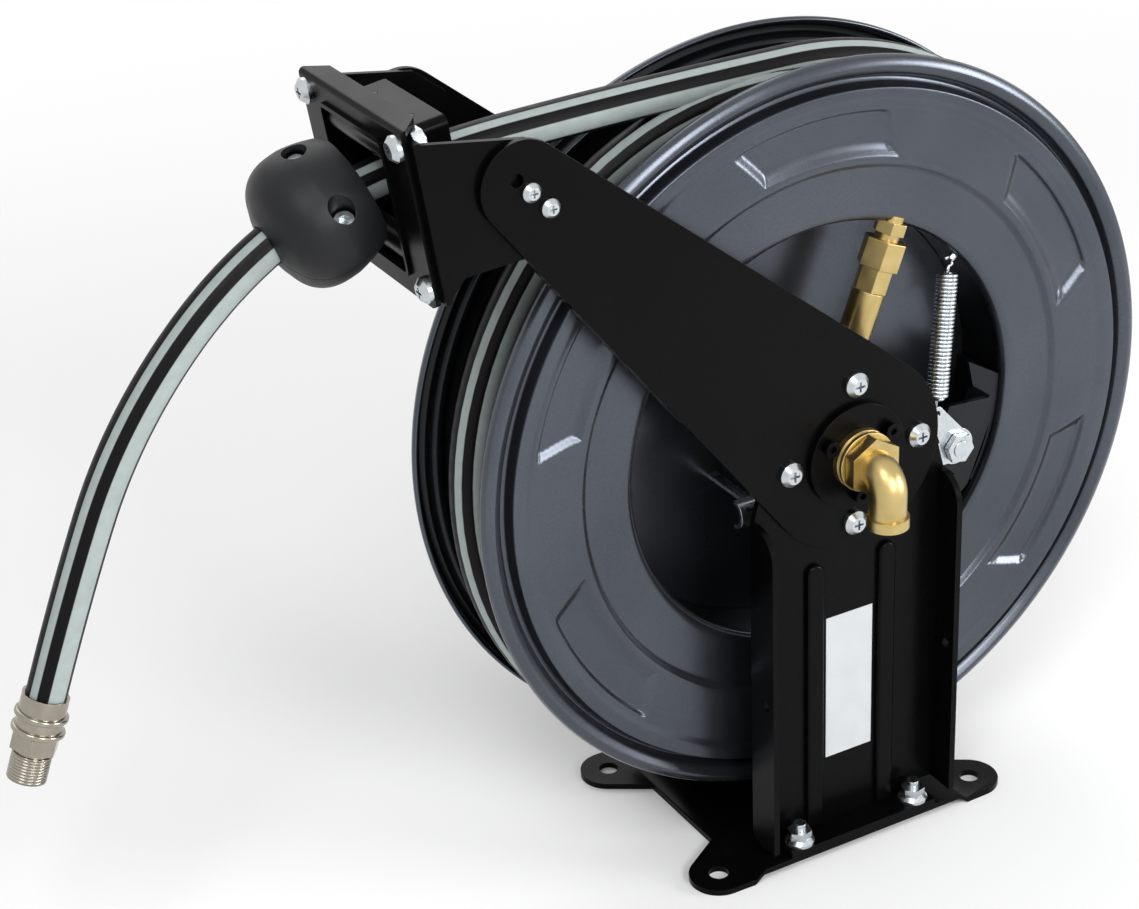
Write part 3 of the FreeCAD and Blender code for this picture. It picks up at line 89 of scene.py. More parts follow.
class Side(Enum):
    """Which side of the drum a disc is on, as the sign of Y."""

    FRONT = -1
    REAR = 1


# ---------------------------------------------------------------- small tools
def linear(code: str) -> tuple[float, float, float, float]:
    """Turn an sRGB hex colour to linear light.

    Args:
        code: Six hex digits after a hash.

    Returns:
        Red, green, blue and an alpha of one.
    """
    parts = np.array([int(code[i : i + 2], 16) for i in (1, 3, 5)]) / 255.0
    light = np.where(parts <= 0.04045, parts / 12.92, ((parts + 0.055) / 1.055) ** 2.4)
    return (float(light[0]), float(light[1]), float(light[2]), 1.0)


def add_node(tree: Tree, kind: str, inputs: dict | None = None, **settings) -> bpy.types.Node:
    """Add a node with its settings, values and links.

    Args:
        tree: Node tree to add to.
        kind: Blender's node type name.
        inputs: Socket name or index to a value, or to an output socket that is linked there.
        **settings: Properties of the node.

    Returns:
        The new node.
    """
    node = tree.nodes.new(kind)
    for name, value in settings.items():
        setattr(node, name, value)
    for key, value in (inputs or {}).items():
        if isinstance(value, Socket):
            tree.links.new(value, node.inputs[key])
        else:
            node.inputs[key].default_value = value
    return node


def smooth_step(x: np.ndarray) -> np.ndarray:
    """Ease from 0 to 1: three x squared minus two x cubed, held outside 0 to 1."""
    x = np.clip(x, 0.0, 1.0)
    return x * x * (3.0 - 2.0 * x)


def grid_mesh(name: str, points: np.ndarray, wrap: tuple[bool, bool], cap: bool = False,
              uv_size: tuple[float, float] = (1.0, 1.0)) -> bpy.types.Object:
    """Make a mesh from a grid of points, one quad to a cell.

    Args:
        name: Piece name.
        points: Array of shape (rows, columns, 3), in metres.
        wrap: Whether the rows and the columns close on themselves.
        cap: Closes the first and the last row with one flat face each.
        uv_size: What the UV map reaches at the last row and at the last column.

    Returns:
        The object, at the origin.
    """
    rows, cols = points.shape[:2]
    last_row, last_col = rows if wrap[0] else rows - 1, cols if wrap[1] else cols - 1
    i, j = np.meshgrid(np.arange(last_row), np.arange(last_col), indexing="ij")
    i, j = i.ravel(), j.ravel()
    corners = [(i, j), (i, j + 1), (i + 1, j + 1), (i + 1, j)]
    quads = np.stack([(a % rows) * cols + (b % cols) for a, b in corners], axis=1)
    uv = np.stack([np.stack([a / last_row, b / last_col], axis=1) for a, b in corners], axis=1)
    uv = uv.reshape(-1, 2) * uv_size
    faces = quads.tolist()
    if cap:
        faces += [list(range(cols))[::-1], [(rows - 1) * cols + k for k in range(cols)]]
        uv = np.concatenate([uv, np.zeros((2 * cols, 2))])
    mesh = bpy.data.meshes.new(name)
    mesh.from_pydata(points.reshape(-1, 3).tolist(), [], faces)
    layer = mesh.uv_layers.new(name="around")
    layer.data.foreach_set("uv", uv.astype(np.float32).ravel())
    mesh.polygons.foreach_set("use_smooth", np.ones(len(mesh.polygons), dtype=bool))
    mesh.update()
    piece = bpy.data.objects.new(name, mesh)
    bpy.context.scene.collection.objects.link(piece)
    return piece


def tube_points(path: np.ndarray, radius: float, sides: int) -> np.ndarray:
    """Carry a circle along a path whose plane is near the drum's middle plane.

    A point is the path plus radius times (outward cos a plus forward sin a). Forward is -Y made square to
    the path, and outward is the path's direction crossed with it.

    Args:
        path: Points of shape (n, 3).
        radius: Tube radius.
        sides: Points round the tube.

    Returns:
        Array of shape (n, sides, 3).
    """
    ahead = np.gradient(path, axis=0)
    ahead /= np.linalg.norm(ahead, axis=1, keepdims=True)
    forward = np.array([0.0, -1.0, 0.0]) - ahead * -ahead[:, 1:2]
    forward /= np.linalg.norm(forward, axis=1, keepdims=True)
    outward = np.cross(ahead, forward)
    turn = np.linspace(0, 2 * math.pi, sides, endpoint=False)
    ring = outward[:, None] * np.cos(turn)[None, :, None] + forward[:, None] * np.sin(turn)[None, :, None]
    return path[:, None] + radius * ring


def spline_line(name: str, points: np.ndarray, resolution: int) -> np.ndarray:
    """Follow a smooth NURBS line of order three through its control points.

    Args:
        name: Name of the passing curve.
        points: Control points of shape (n, 3), in metres.
        resolution: Steps to a span.

    Returns:
        Points on the line, in order.
    """
    curve = bpy.data.curves.new(name, "CURVE")
    curve.dimensions = "3D"
    spline = curve.splines.new("NURBS")
    spline.points.add(len(points) - 1)
    spline.points.foreach_set("co", np.c_[points, np.ones(len(points))].astype(np.float32).ravel())
    spline.order_u = 3
    spline.use_endpoint_u = True
    spline.resolution_u = resolution
    holder = bpy.data.objects.new(name, curve)
    bpy.context.scene.collection.objects.link(holder)
    bpy.context.view_layer.update()
    line = bpy.data.meshes.new_from_object(holder.evaluated_get(bpy.context.evaluated_depsgraph_get()))
    found = np.zeros(len(line.vertices) * 3, np.float32)
    line.vertices.foreach_get("co", found)
    bpy.data.objects.remove(holder)
    bpy.data.curves.remove(curve)
    bpy.data.meshes.remove(line)
    found = found.reshape(-1, 3).astype(float)
    keep = np.r_[True, np.linalg.norm(np.diff(found, axis=0), axis=1) > 1e-6]
    return found[keep]


def line_length(path: np.ndarray) -> float:
    """Length of a line of points."""
    return float(np.linalg.norm(np.diff(path, axis=0), axis=1).sum())


# ---------------------------------------------------------------- finishes
@dataclass(frozen=True)
class Finish:
    """A surface finish; each kind fills in its own nodes."""

    name: str

    def material(self) -> bpy.types.Material:
        """Build the finish once and hand it back after that.

        Returns:
            The material.
        """
        known = bpy.data.materials.get(self.name)
        if known:
            return known
        made = bpy.data.materials.new(self.name)
        made.use_nodes = True
        tree = made.node_tree
        tree.nodes.clear()
        shader = add_node(tree, "ShaderNodeBsdfPrincipled")
        add_node(tree, "ShaderNodeOutputMaterial", {"Surface": shader.outputs[0]})
        place = add_node(tree, "ShaderNodeTexCoord").outputs["Object"]
        self.fill(tree, shader, place)
        return made

    def fill(self, tree: Tree, shader: bpy.types.Node, place: Socket) -> None:
        """Set the shader's sockets and link its patterns.

        Args:
            tree: Node tree to add to.
            shader: The surface shader.
            place: Coordinates in metres.
        """
        raise NotImplementedError

    def grain(self, tree: Tree, place: Socket, size_mm: float, detail: float = 3.0) -> Socket:
        """Noise whose features are about size_mm across.

        Args:
            tree: Node tree to add to.
            place: Coordinates in metres.
            size_mm: Size of one feature.
            detail: Finer layers on top of it.

        Returns:
            The noise value, from 0 to 1.
        """
        return add_node(tree, "ShaderNodeTexNoise", {"Vector": place, "Scale": 1.0 / (size_mm * MM),
                                                     "Detail": detail}).outputs[0]

    def spread(self, tree: Tree, value: Socket, low: float, high: float) -> Socket:
        """Map a noise value to a range.

        Args:
            tree: Node tree to add to.
            value: Noise value.
            low: What 0.3 becomes.
            high: What 0.7 becomes.

        Returns:
            The mapped value.
        """
        return add_node(tree, "ShaderNodeMapRange", {"Value": value, "From Min": 0.3, "From Max": 0.7,
                                                     "To Min": low, "To Max": high}).outputs[0]

    def blend(self, tree: Tree, value: Socket, low: str, high: str) -> Socket:
        """Mix two colours by a value.

        Args:
            tree: Node tree to add to.
            value: Mix factor.
            low: Hex colour at 0.
            high: Hex colour at 1.

        Returns:
            The mixed colour.
        """
        return add_node(tree, "ShaderNodeMix", {0: value, 6: linear(low), 7: linear(high)},
                        data_type="RGBA").outputs[2]

    def shade(self, tree: Tree, shader: bpy.types.Node, cloud: Socket, low: str, high: str,
              rough: tuple[float, float]) -> None:
        """Let one cloud pattern drive the tone and the roughness.

        Args:
            tree: Node tree to add to.
            shader: The surface shader.
            cloud: Noise value.
            low: Hex colour at 0.
            high: Hex colour at 1.
            rough: Roughness at 0.3 and at 0.7.
        """
        tree.links.new(self.blend(tree, cloud, low, high), shader.inputs["Base Color"])
        tree.links.new(self.spread(tree, cloud, *rough), shader.inputs["Roughness"])

    def dent(self, tree: Tree, shader: bpy.types.Node, height: Socket, depth_mm: float,
             strength: float) -> None:
        """Feed a height pattern to the shader's normal.

        Args:
            tree: Node tree to add to.
            shader: The surface shader.
            height: The pattern, from 0 to 1.
            depth_mm: What a height of 1 stands for.
            strength: Share of it that is shown.
        """
        bump = add_node(tree, "ShaderNodeBump", {"Height": height, "Distance": depth_mm * MM,
                                                 "Strength": strength})
        tree.links.new(bump.outputs[0], shader.inputs["Normal"])


@dataclass(frozen=True)
class PowderCoat(Finish):
    """Polyester powder coat on steel: sprayed as dust and baked, so it flows to a gloss with orange peel."""

    low: str = "#040405"
    high: str = "#070708"
    cloud_mm: float = 35.0
    peel_mm: float = 2.2  # real orange peel is 1 to 3 mm from crest to crest
    peel_depth_mm: float = 0.05
    peel_strength: float = 0.22
    rough: tuple[float, float] = (0.22, 0.32)
    shine: float = 0.07

    def fill(self, tree: Tree, shader: bpy.types.Node, place: Socket) -> None:
        """Black, slightly cloudy gloss with a shallow orange peel."""
        self.shade(tree, shader, self.grain(tree, place, self.cloud_mm), self.low, self.high, self.rough)
        shader.inputs["Specular IOR Level"].default_value = self.shine
        peel = self.grain(tree, place, self.peel_mm, 1.0)
        self.dent(tree, shader, peel, self.peel_depth_mm, self.peel_strength)


@dataclass(frozen=True)
class FlakePaint(Finish):
    """Metallic stoving enamel: aluminium flakes in a grey binder give a satin sheen with a fine sparkle."""

    low: str = "#373a40"
    high: str = "#565a62"
    flake_mm: float = 0.5  # real flakes are about 0.05 mm; drawn coarser so that they show
    flake_share: float = 0.35
    cloud_mm: float = 90.0
    peel_mm: float = 1.6
    peel_depth_mm: float = 0.03
    peel_strength: float = 0.15
    metal: float = 0.9
    rough: tuple[float, float] = (0.22, 0.31)

    def fill(self, tree: Tree, shader: bpy.types.Node, place: Socket) -> None:
        """Grey metal look with flakes of slightly different tone."""
        flakes = add_node(tree, "ShaderNodeTexVoronoi", {"Vector": place,
                                                         "Scale": 1.0 / (self.flake_mm * MM)})
        cloud = self.grain(tree, place, self.cloud_mm)
        tone = add_node(tree, "ShaderNodeMath", {0: flakes.outputs["Color"], 1: self.flake_share, 2: cloud},
                        operation="MULTIPLY_ADD")
        tree.links.new(self.blend(tree, tone.outputs[0], self.low, self.high), shader.inputs["Base Color"])
        tree.links.new(self.spread(tree, cloud, *self.rough), shader.inputs["Roughness"])
        shader.inputs["Metallic"].default_value = self.metal
        peel = self.grain(tree, place, self.peel_mm, 1.0)
        self.dent(tree, shader, peel, self.peel_depth_mm, self.peel_strength)


@dataclass(frozen=True)
class PlatedMetal(Finish):
    """Electroplated or turned metal: a bare shine, cloudy from the bath, with fine tool or drawing marks."""

    low: str = "#aeb4b9"
    high: str = "#cfd4d6"
    cloud_mm: float = 6.0
    mark_mm: float = 0.35
    rough: tuple[float, float] = (0.20, 0.34)
    mark_depth_mm: float = 0.02
    mark_strength: float = 0.10

    def fill(self, tree: Tree, shader: bpy.types.Node, place: Socket) -> None:
        """Metal with a soft change of tone and roughness."""
        self.shade(tree, shader, self.grain(tree, place, self.cloud_mm), self.low, self.high, self.rough)
        shader.inputs["Metallic"].default_value = 1.0
        self.relief(tree, shader, place)

    def relief(self, tree: Tree, shader: bpy.types.Node, place: Socket) -> None:
        """Shallow marks all over."""
        marks = self.grain(tree, place, self.mark_mm, 2.0)
        self.dent(tree, shader, marks, self.mark_depth_mm, self.mark_strength)


@dataclass(frozen=True)
class CutThread(PlatedMetal):
    """Plated metal with a thread cut on its end: ridges square to the thread's axis, one to each pitch."""

    start: Point = (-0.3637, 0.0, 0.1617)  # where the hose ends
    ahead: Point = (-0.3585, 0.0, -0.9335)
    plain: float = 0.0122  # along the axis from the start to the first ridge
    pitch: float = 1.337 * MM  # nineteen threads to the inch
    ridge_mm: float = 0.3
    ridge_strength: float = 0.8

    def relief(self, tree: Tree, shader: bpy.types.Node, place: Socket) -> None:
        """Ridges as a sine of the distance along the axis, past the plain part."""
        off = add_node(tree, "ShaderNodeVectorMath", {0: place, 1: self.start}, operation="SUBTRACT")
        along = add_node(tree, "ShaderNodeVectorMath", {0: off.outputs[0], 1: self.ahead},
                         operation="DOT_PRODUCT").outputs["Value"]
        turn = add_node(tree, "ShaderNodeMath", {0: along, 1: 2 * math.pi / self.pitch}, operation="MULTIPLY")
        ridge = add_node(tree, "ShaderNodeMath", {0: turn.outputs[0]}, operation="SINE")
        cut = add_node(tree, "ShaderNodeMath", {0: along, 1: self.plain}, operation="GREATER_THAN")
        height = add_node(tree, "ShaderNodeMath", {0: ridge.outputs[0], 1: cut.outputs[0]},
                          operation="MULTIPLY")
        self.dent(tree, shader, height.outputs[0], self.ridge_mm, self.ridge_strength)


@dataclass(frozen=True)
class MouldedPolymer(Finish):
    """Moulded rubber, nylon or film: a dull dielectric with the mould's fine grain."""

    low: str = "#141415"
    high: str = "#1d1d1f"
    cloud_mm: float = 12.0
    grain_mm: float = 0.6
    rough: tuple[float, float] = (0.42, 0.56)
    grain_depth_mm: float = 0.06
    grain_strength: float = 0.18
    shine: float = 0.5

    def fill(self, tree: Tree, shader: bpy.types.Node, place: Socket) -> None:
        """Cloudy tone, uneven dullness and a fine grain."""
        cloud = self.grain(tree, place, self.cloud_mm, 4.0)
        self.shade(tree, shader, cloud, self.low, self.high, self.rough)
        shader.inputs["Specular IOR Level"].default_value = self.shine
        fine = self.grain(tree, place, self.grain_mm, 2.0)
        self.dent(tree, shader, fine, self.grain_depth_mm, self.grain_strength)


@dataclass(frozen=True)
class StripedHose(Finish):
    """Extruded EPDM hose: a black cover with light stripes let into it, and faint drawing lines along it."""

    black: str = "#060607"
    stripe: str = "#a3adac"
    bands_deg: tuple[tuple[float, float], ...] = ((17, 43), (75, 130), (197, 223), (255, 310))
    edge_deg: float = 1.5
    scuff_mm: float = 5.0
    scuff: str = "#e2e2e0"  # what a scuffed place keeps of the cover's colour
    rough: tuple[float, float] = (0.36, 0.52)
    shine: float = 0.14
    drawing_lines: int = 60
    line_mm: float = 0.03
    line_strength: float = 0.12

    def fill(self, tree: Tree, shader: bpy.types.Node, place: Socket) -> None:
        """Bands by the angle round the hose, read from the piece's own UV map."""
        uv = add_node(tree, "ShaderNodeUVMap", uv_map="around").outputs[0]
        around = add_node(tree, "ShaderNodeSeparateXYZ", {0: uv}).outputs[1]
        ramp = add_node(tree, "ShaderNodeValToRGB", {0: around})
        stops = ramp.color_ramp.elements
        stops[0].position, stops[0].color = 0.0, linear(self.black)
        stops[1].position, stops[1].color = 1.0, linear(self.black)
        for start, stop in self.bands_deg:
            for at, code in ((start, self.black), (start + self.edge_deg, self.stripe),
                             (stop - self.edge_deg, self.stripe), (stop, self.black)):
                stops.new(at / 360.0).color = linear(code)
        scuff = self.grain(tree, place, self.scuff_mm, 5.0)
        worn = add_node(tree, "ShaderNodeMix", {0: 1.0, 6: ramp.outputs[0],
                                                7: self.blend(tree, scuff, self.scuff, "#ffffff")},
                        data_type="RGBA", blend_type="MULTIPLY")
        tree.links.new(worn.outputs[2], shader.inputs["Base Color"])
        tree.links.new(self.spread(tree, scuff, *self.rough), shader.inputs["Roughness"])
        shader.inputs["Specular IOR Level"].default_value = self.shine
        turn = add_node(tree, "ShaderNodeMath", {0: around, 1: 2 * math.pi * self.drawing_lines},
                        operation="MULTIPLY")
        lines = add_node(tree, "ShaderNodeMath", {0: turn.outputs[0]}, operation="SINE")
        self.dent(tree, shader, lines.outputs[0], self.line_mm, self.line_strength)


FINISHES: dict[str, Finish] = {
    # deep black gloss over steel sheet
    "frame_paint": PowderCoat("black_powder_coat"),
    # blue-grey sheen over pressed sheet
    "disc_paint": FlakePaint("grey_metallic_enamel"),
    # the same enamel made darker: painted shade for the barrel, the pawl bracket and the discs' inner faces,
    # where little light reaches inside the drum
    "shade_painted_enamel": FlakePaint("painted_shade_metallic_enamel", "#141518", "#202226", metal=0.7),
    # blue-white chromate over zinc: cool and bright, slightly cloudy
    "zinc": PlatedMetal("bright_zinc_plate"),
    # chemically blackened steel: dark, oily sheen
    "black_screw": PlatedMetal("black_oxide", "#121214", "#1c1c1f", rough=(0.32, 0.44)),
    # cold-drawn bar, turned: grey with tool marks
    "steel": PlatedMetal("turned_steel", "#85868a", "#a0a1a4", mark_mm=0.5, rough=(0.25, 0.4),
                         mark_strength=0.2),
    # free-cutting brass CW614N, tumbled: warm yellow, soft shine
    "brass": PlatedMetal("tumbled_brass", "#a8925b", "#cdb881", cloud_mm=9.0, mark_mm=0.7, rough=(0.27, 0.40),
                         mark_strength=0.35),
    # pressed and sintered powder: brown and dull, with open pores
    "bronze": PlatedMetal("sintered_bronze", "#8a6238", "#a5784a", mark_mm=0.3, rough=(0.45, 0.6),
                          mark_strength=0.4),
    # bare pale polyester film
    "label": MouldedPolymer("white_label_film", "#b2b5b8", "#bfc2c5", grain_mm=0.8, rough=(0.45, 0.55),
                            grain_strength=0.04),
    # moulded nitrile ring: plain black
    "seal_rubber": MouldedPolymer("black_nitrile", "#101011", "#171718"),
    # two-colour extruded cover
    "hose_rubber": StripedHose("striped_epdm_hose"),
    # natural rubber, compression moulded: matt with a faint bloom
    "ball_rubber": MouldedPolymer("black_moulded_rubber", "#0b0c0e", "#15161a", cloud_mm=18.0, grain_mm=0.9,
                                  rough=(0.42, 0.56), grain_strength=0.28, shine=0.3),
    # dull nickel over brass: a warm grey shine
    "nickel": PlatedMetal("dull_nickel_plate", "#8b857a", "#aaa598", rough=(0.14, 0.24)),
    # the same plate over a cut thread
    "thread_nickel": CutThread("nickel_plated_thread", "#8b857a", "#aaa598", rough=(0.14, 0.24)),
    # injection moulded nylon: smooth, with a soft shine
    "roller_plastic": MouldedPolymer("black_nylon", "#08080a", "#101012", rough=(0.28, 0.38),
                                     grain_strength=0.08, shine=0.3),
}


# ---------------------------------------------------------------- solid pieces carried over
@dataclass
class SolidWork:
    """Dresses the solid pieces: finish by slot, tiny edge rounding and clean shading."""

    frame: dict
    join_within: float = 1e-6
    flat_deg: float = 0.5
    edge_from_deg: float = 40.0
    edge_steps: int = 2
    edge_mm: dict[str, float] = field(default_factory=lambda: {
        "frame_paint": 0.5, "disc_paint": 0.4, "zinc": 0.25, "brass": 0.35, "nickel": 0.25, "label": 0.05,
        "ball_rubber": 0.8, "roller_plastic": 0.3, "black_screw": 0.3, "steel": 0.3, "bronze": 0.2,
        "seal_rubber": 0.2})
    # drum_core and pawl_bracket take the darkened enamel, which is painted shade
    finish_of: dict[str, str] = field(default_factory=lambda: {
        # roller_pins take black oxide as painted shade on the pins deep in the guide's cage
        "drum_core": "shade_painted_enamel", "pawl_bracket": "shade_painted_enamel", "roller_pins": "black_screw",
        "hose_end_nipple": "thread_nickel"})

    def merge_group(self) -> Tree:
        """Node group that joins loose triangles and shades them smooth.

        Returns:
            The new group.
        """
        group = bpy.data.node_groups.new("join_and_smooth", "GeometryNodeTree")
        group.interface.new_socket("Geometry", in_out="INPUT", socket_type="NodeSocketGeometry")
        group.interface.new_socket("Geometry", in_out="OUTPUT", socket_type="NodeSocketGeometry")
        start = add_node(group, "NodeGroupInput")
        join = add_node(group, "GeometryNodeMergeByDistance", {"Geometry": start.outputs[0],
                                                               "Distance": self.join_within})
        shade = add_node(group, "GeometryNodeSetShadeSmooth", {"Geometry": join.outputs[0],
                                                               "Shade Smooth": True})
        add_node(group, "NodeGroupOutput", {0: shade.outputs[0]})
        return group

    def dress(self) -> None:
        """Give every solid piece its finish and its edges."""
        group = self.merge_group()
        slots = {row["node"]: row["material_slot"] for row in self.frame["record"]["subparts"]}
        for name, piece in self.frame["nodes"].items():
            slot = slots[name]
            finish = FINISHES[self.finish_of.get(name, slot)].material()
            piece.data.materials.clear()
            piece.data.materials.append(finish)
            join = piece.modifiers.new("join", "NODES")
            join.node_group = group
            width = self.edge_mm.get(slot, 0.0)
            flat = piece.modifiers.new("flat", "DECIMATE")
            flat.decimate_type = "DISSOLVE"
            flat.angle_limit = math.radians(self.flat_deg)
            if width:
                edge = piece.modifiers.new("edge", "BEVEL")
                edge.width = width * MM
                edge.segments = self.edge_steps
                edge.limit_method = "ANGLE"
                edge.angle_limit = math.radians(self.edge_from_deg)
                edge.use_clamp_overlap = True
            even = piece.modifiers.new("even", "WEIGHTED_NORMAL")
            even.keep_sharp = True
            LOG.info("solid %s: %s", name, finish.name)


# ---------------------------------------------------------------- drum discs
@dataclass
class SideDisc:
    """One pressed side disc: a turned section with six pressed pads, inside and outside skins in one."""

    side: Side
    node: str
    axis_z: float
    rim_r: float = 0.175
    rim_y: float = 0.0353
    core_r: float = 0.1035
    core_wall: float = 0.002
    sheet: float = 0.0015
    pad_depth: float = 0.0025
    ring: tuple[float, float] = (0.1275, 0.1527)
    pad_first_deg: float = 31.5
    pad_count: int = 6
    pad_half_deg: float = 15.5
    pad_lean_deg: float = 4.5
    press_edge: float = 0.0020  # width of a pad's outer step
    press_slope: float = 0.0048  # width of its inner step and of its ends
    fine_points: int = 800
    reach: int = 7  # of the moving mean, in fine points
    flat_weight: float = 0.3  # rows per length on the flats; more are added at the bends and the pads' steps
    bend_weight: float = 3.0
    step_weight: float = 0.9
    step_half: float = 0.0014
    columns_per_pad: int = 106
    close_columns: float = 7.0
    along: int = 70

    def section(self) -> np.ndarray:
        """Half section from the lip to the rolled rim, its bends rounded by a moving mean.

        Its points lie closer where it bends and where the pads' steps are.

        Returns:
            Array of shape (along, 2) of radius and distance from the middle plane.
        """
        lip = self.core_r - self.core_wall
        inner = self.rim_y - self.pad_depth
        r0, r1 = self.ring
        rim_r, rim_y = self.rim_r, self.rim_y
        barrel_lip = [(lip - 0.0015, inner - 0.0055), (lip - 0.0014, inner - 0.003), (lip, inner - 0.001)]
        face = [(lip + 0.0026, inner), (r0 - 0.0026, inner), (r0, rim_y), (r1, rim_y),
                (r1 + 0.003, rim_y + 0.0012), (rim_r - 0.0136, rim_y + 0.0012)]
        groove = [(rim_r - 0.0124, rim_y - 0.0050), (rim_r - 0.0104, rim_y - 0.0058),
                  (rim_r - 0.0084, rim_y - 0.0012)]
        rim = [(rim_r - 0.0045, rim_y + 0.0011), (rim_r - 0.001, rim_y - 0.0003), (rim_r, rim_y - 0.003),
               (rim_r - 0.0006, rim_y - 0.0054)]
        rough = np.array(barrel_lip + face + groove + rim)
        travel = np.r_[0, np.cumsum(np.linalg.norm(np.diff(rough, axis=0), axis=1))]
        fine = np.linspace(0, travel[-1], self.fine_points)
        line = np.stack([np.interp(fine, travel, rough[:, k]) for k in (0, 1)], axis=1)
        weight = np.hanning(2 * self.reach + 1)
        weight /= weight.sum()
        padded = np.pad(line, ((self.reach, self.reach), (0, 0)), mode="reflect", reflect_type="odd")
        line = np.stack([np.convolve(padded[:, k], weight, mode="valid") for k in (0, 1)], axis=1)
        bend = np.abs(np.gradient(np.unwrap(np.arctan2(*np.gradient(line, axis=0).T[::-1]))))
        pressed = np.minimum(abs(line[:, 0] - r0 - 0.004), abs(line[:, 0] - r1 + 0.002)) < self.step_half
        density = np.cumsum(self.flat_weight + bend / bend.max() * self.bend_weight
                            + pressed * self.step_weight)
        index = np.arange(len(line))
        pick = np.interp(np.linspace(density[0], density[-1], self.along), density, index)
        return np.stack([np.interp(pick, index, line[:, k]) for k in (0, 1)], axis=1)

    def pads(self, radius: np.ndarray, angle_deg: np.ndarray) -> np.ndarray:
        """Depth of the pressed pads: 1 inside a pad, an eased outer step, straight slopes elsewhere.

        Args:
            radius: Radius of each point.
            angle_deg: Angle of each point.

        Returns:
            Depth from 0 to 1, of the same shape.
        """
        r0, r1 = self.ring[0] + 0.003, self.ring[1] - 0.001
        step = 360.0 / self.pad_count
        off = (angle_deg - self.pad_first_deg + step / 2) % step - step / 2
        off = off - self.pad_lean_deg * ((radius - r0) / (r1 - r0) - 0.5)
        ends = (self.pad_half_deg - np.abs(off)) * math.pi / 180 * radius
        far = smooth_step((r1 - radius) / self.press_edge)
        near = np.clip((radius - r0) / self.press_slope, 0.0, 1.0)
        return np.minimum(near, np.clip(ends / self.press_slope, 0.0, 1.0)) * far

    def columns(self) -> np.ndarray:
        """Angles of the turned section, in degrees, much closer together where a pad ends.

        Returns:
            Angles from 0 to 360.
        """
        step = 360.0 / self.pad_count
        fine = np.linspace(0.0, step, 6001)
        off = np.abs((fine - self.pad_first_deg + step / 2) % step - step / 2)
        near = np.abs(off - self.pad_half_deg + 0.6) < self.pad_lean_deg / 2 + 1.6
        travel = np.cumsum(1.0 + self.close_columns * near)
        one = np.interp(np.linspace(travel[0], travel[-1], self.columns_per_pad + 1)[:-1], travel, fine)
        return (one[None, :] + step * np.arange(self.pad_count)[:, None]).ravel()

    def build(self) -> bpy.types.Object:
        """Turn the closed section round the shaft and press the pads into both skins.

        Returns:
            The disc.
        """
        outer = self.section()
        slope = np.gradient(outer, axis=0)
        slope /= np.linalg.norm(slope, axis=1, keepdims=True)
        inner = outer + self.sheet * np.stack([slope[:, 1], -slope[:, 0]], axis=1)
        loop = np.concatenate([outer, inner[::-1]])
        turn = self.columns()
        radius = np.repeat(loop[:, :1], len(turn), axis=1)
        out = loop[:, 1:2] - self.pad_depth * self.pads(radius, turn[None, :] + 0 * radius)
        angle = np.radians(turn)[None, :]
        sign = self.side.value
        points = np.stack([radius * np.cos(angle), sign * out, self.axis_z + radius * np.sin(angle)], axis=2)
        if sign < 0:
            points = points[::-1]
        disc = grid_mesh(f"{self.side.name.lower()}_pressed_disc", points, (True, True))
        disc.data.materials.append(FINISHES["disc_paint"].material())
        # the inner skin, facing into the drum, takes the darkened enamel as painted shade
        disc.data.materials.append(FINISHES["shade_painted_enamel"].material())
        row = np.arange(len(disc.data.polygons)) // len(turn)
        shaded_inside = row < self.along - 1 if sign < 0 else row >= self.along
        disc.data.polygons.foreach_set("material_index", shaded_inside.astype(np.int32))
        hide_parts(self.node)
        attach(disc, Body.DRUM.value)
        LOG.info("disc %s: %d faces", disc.name, len(disc.data.polygons))
        return disc


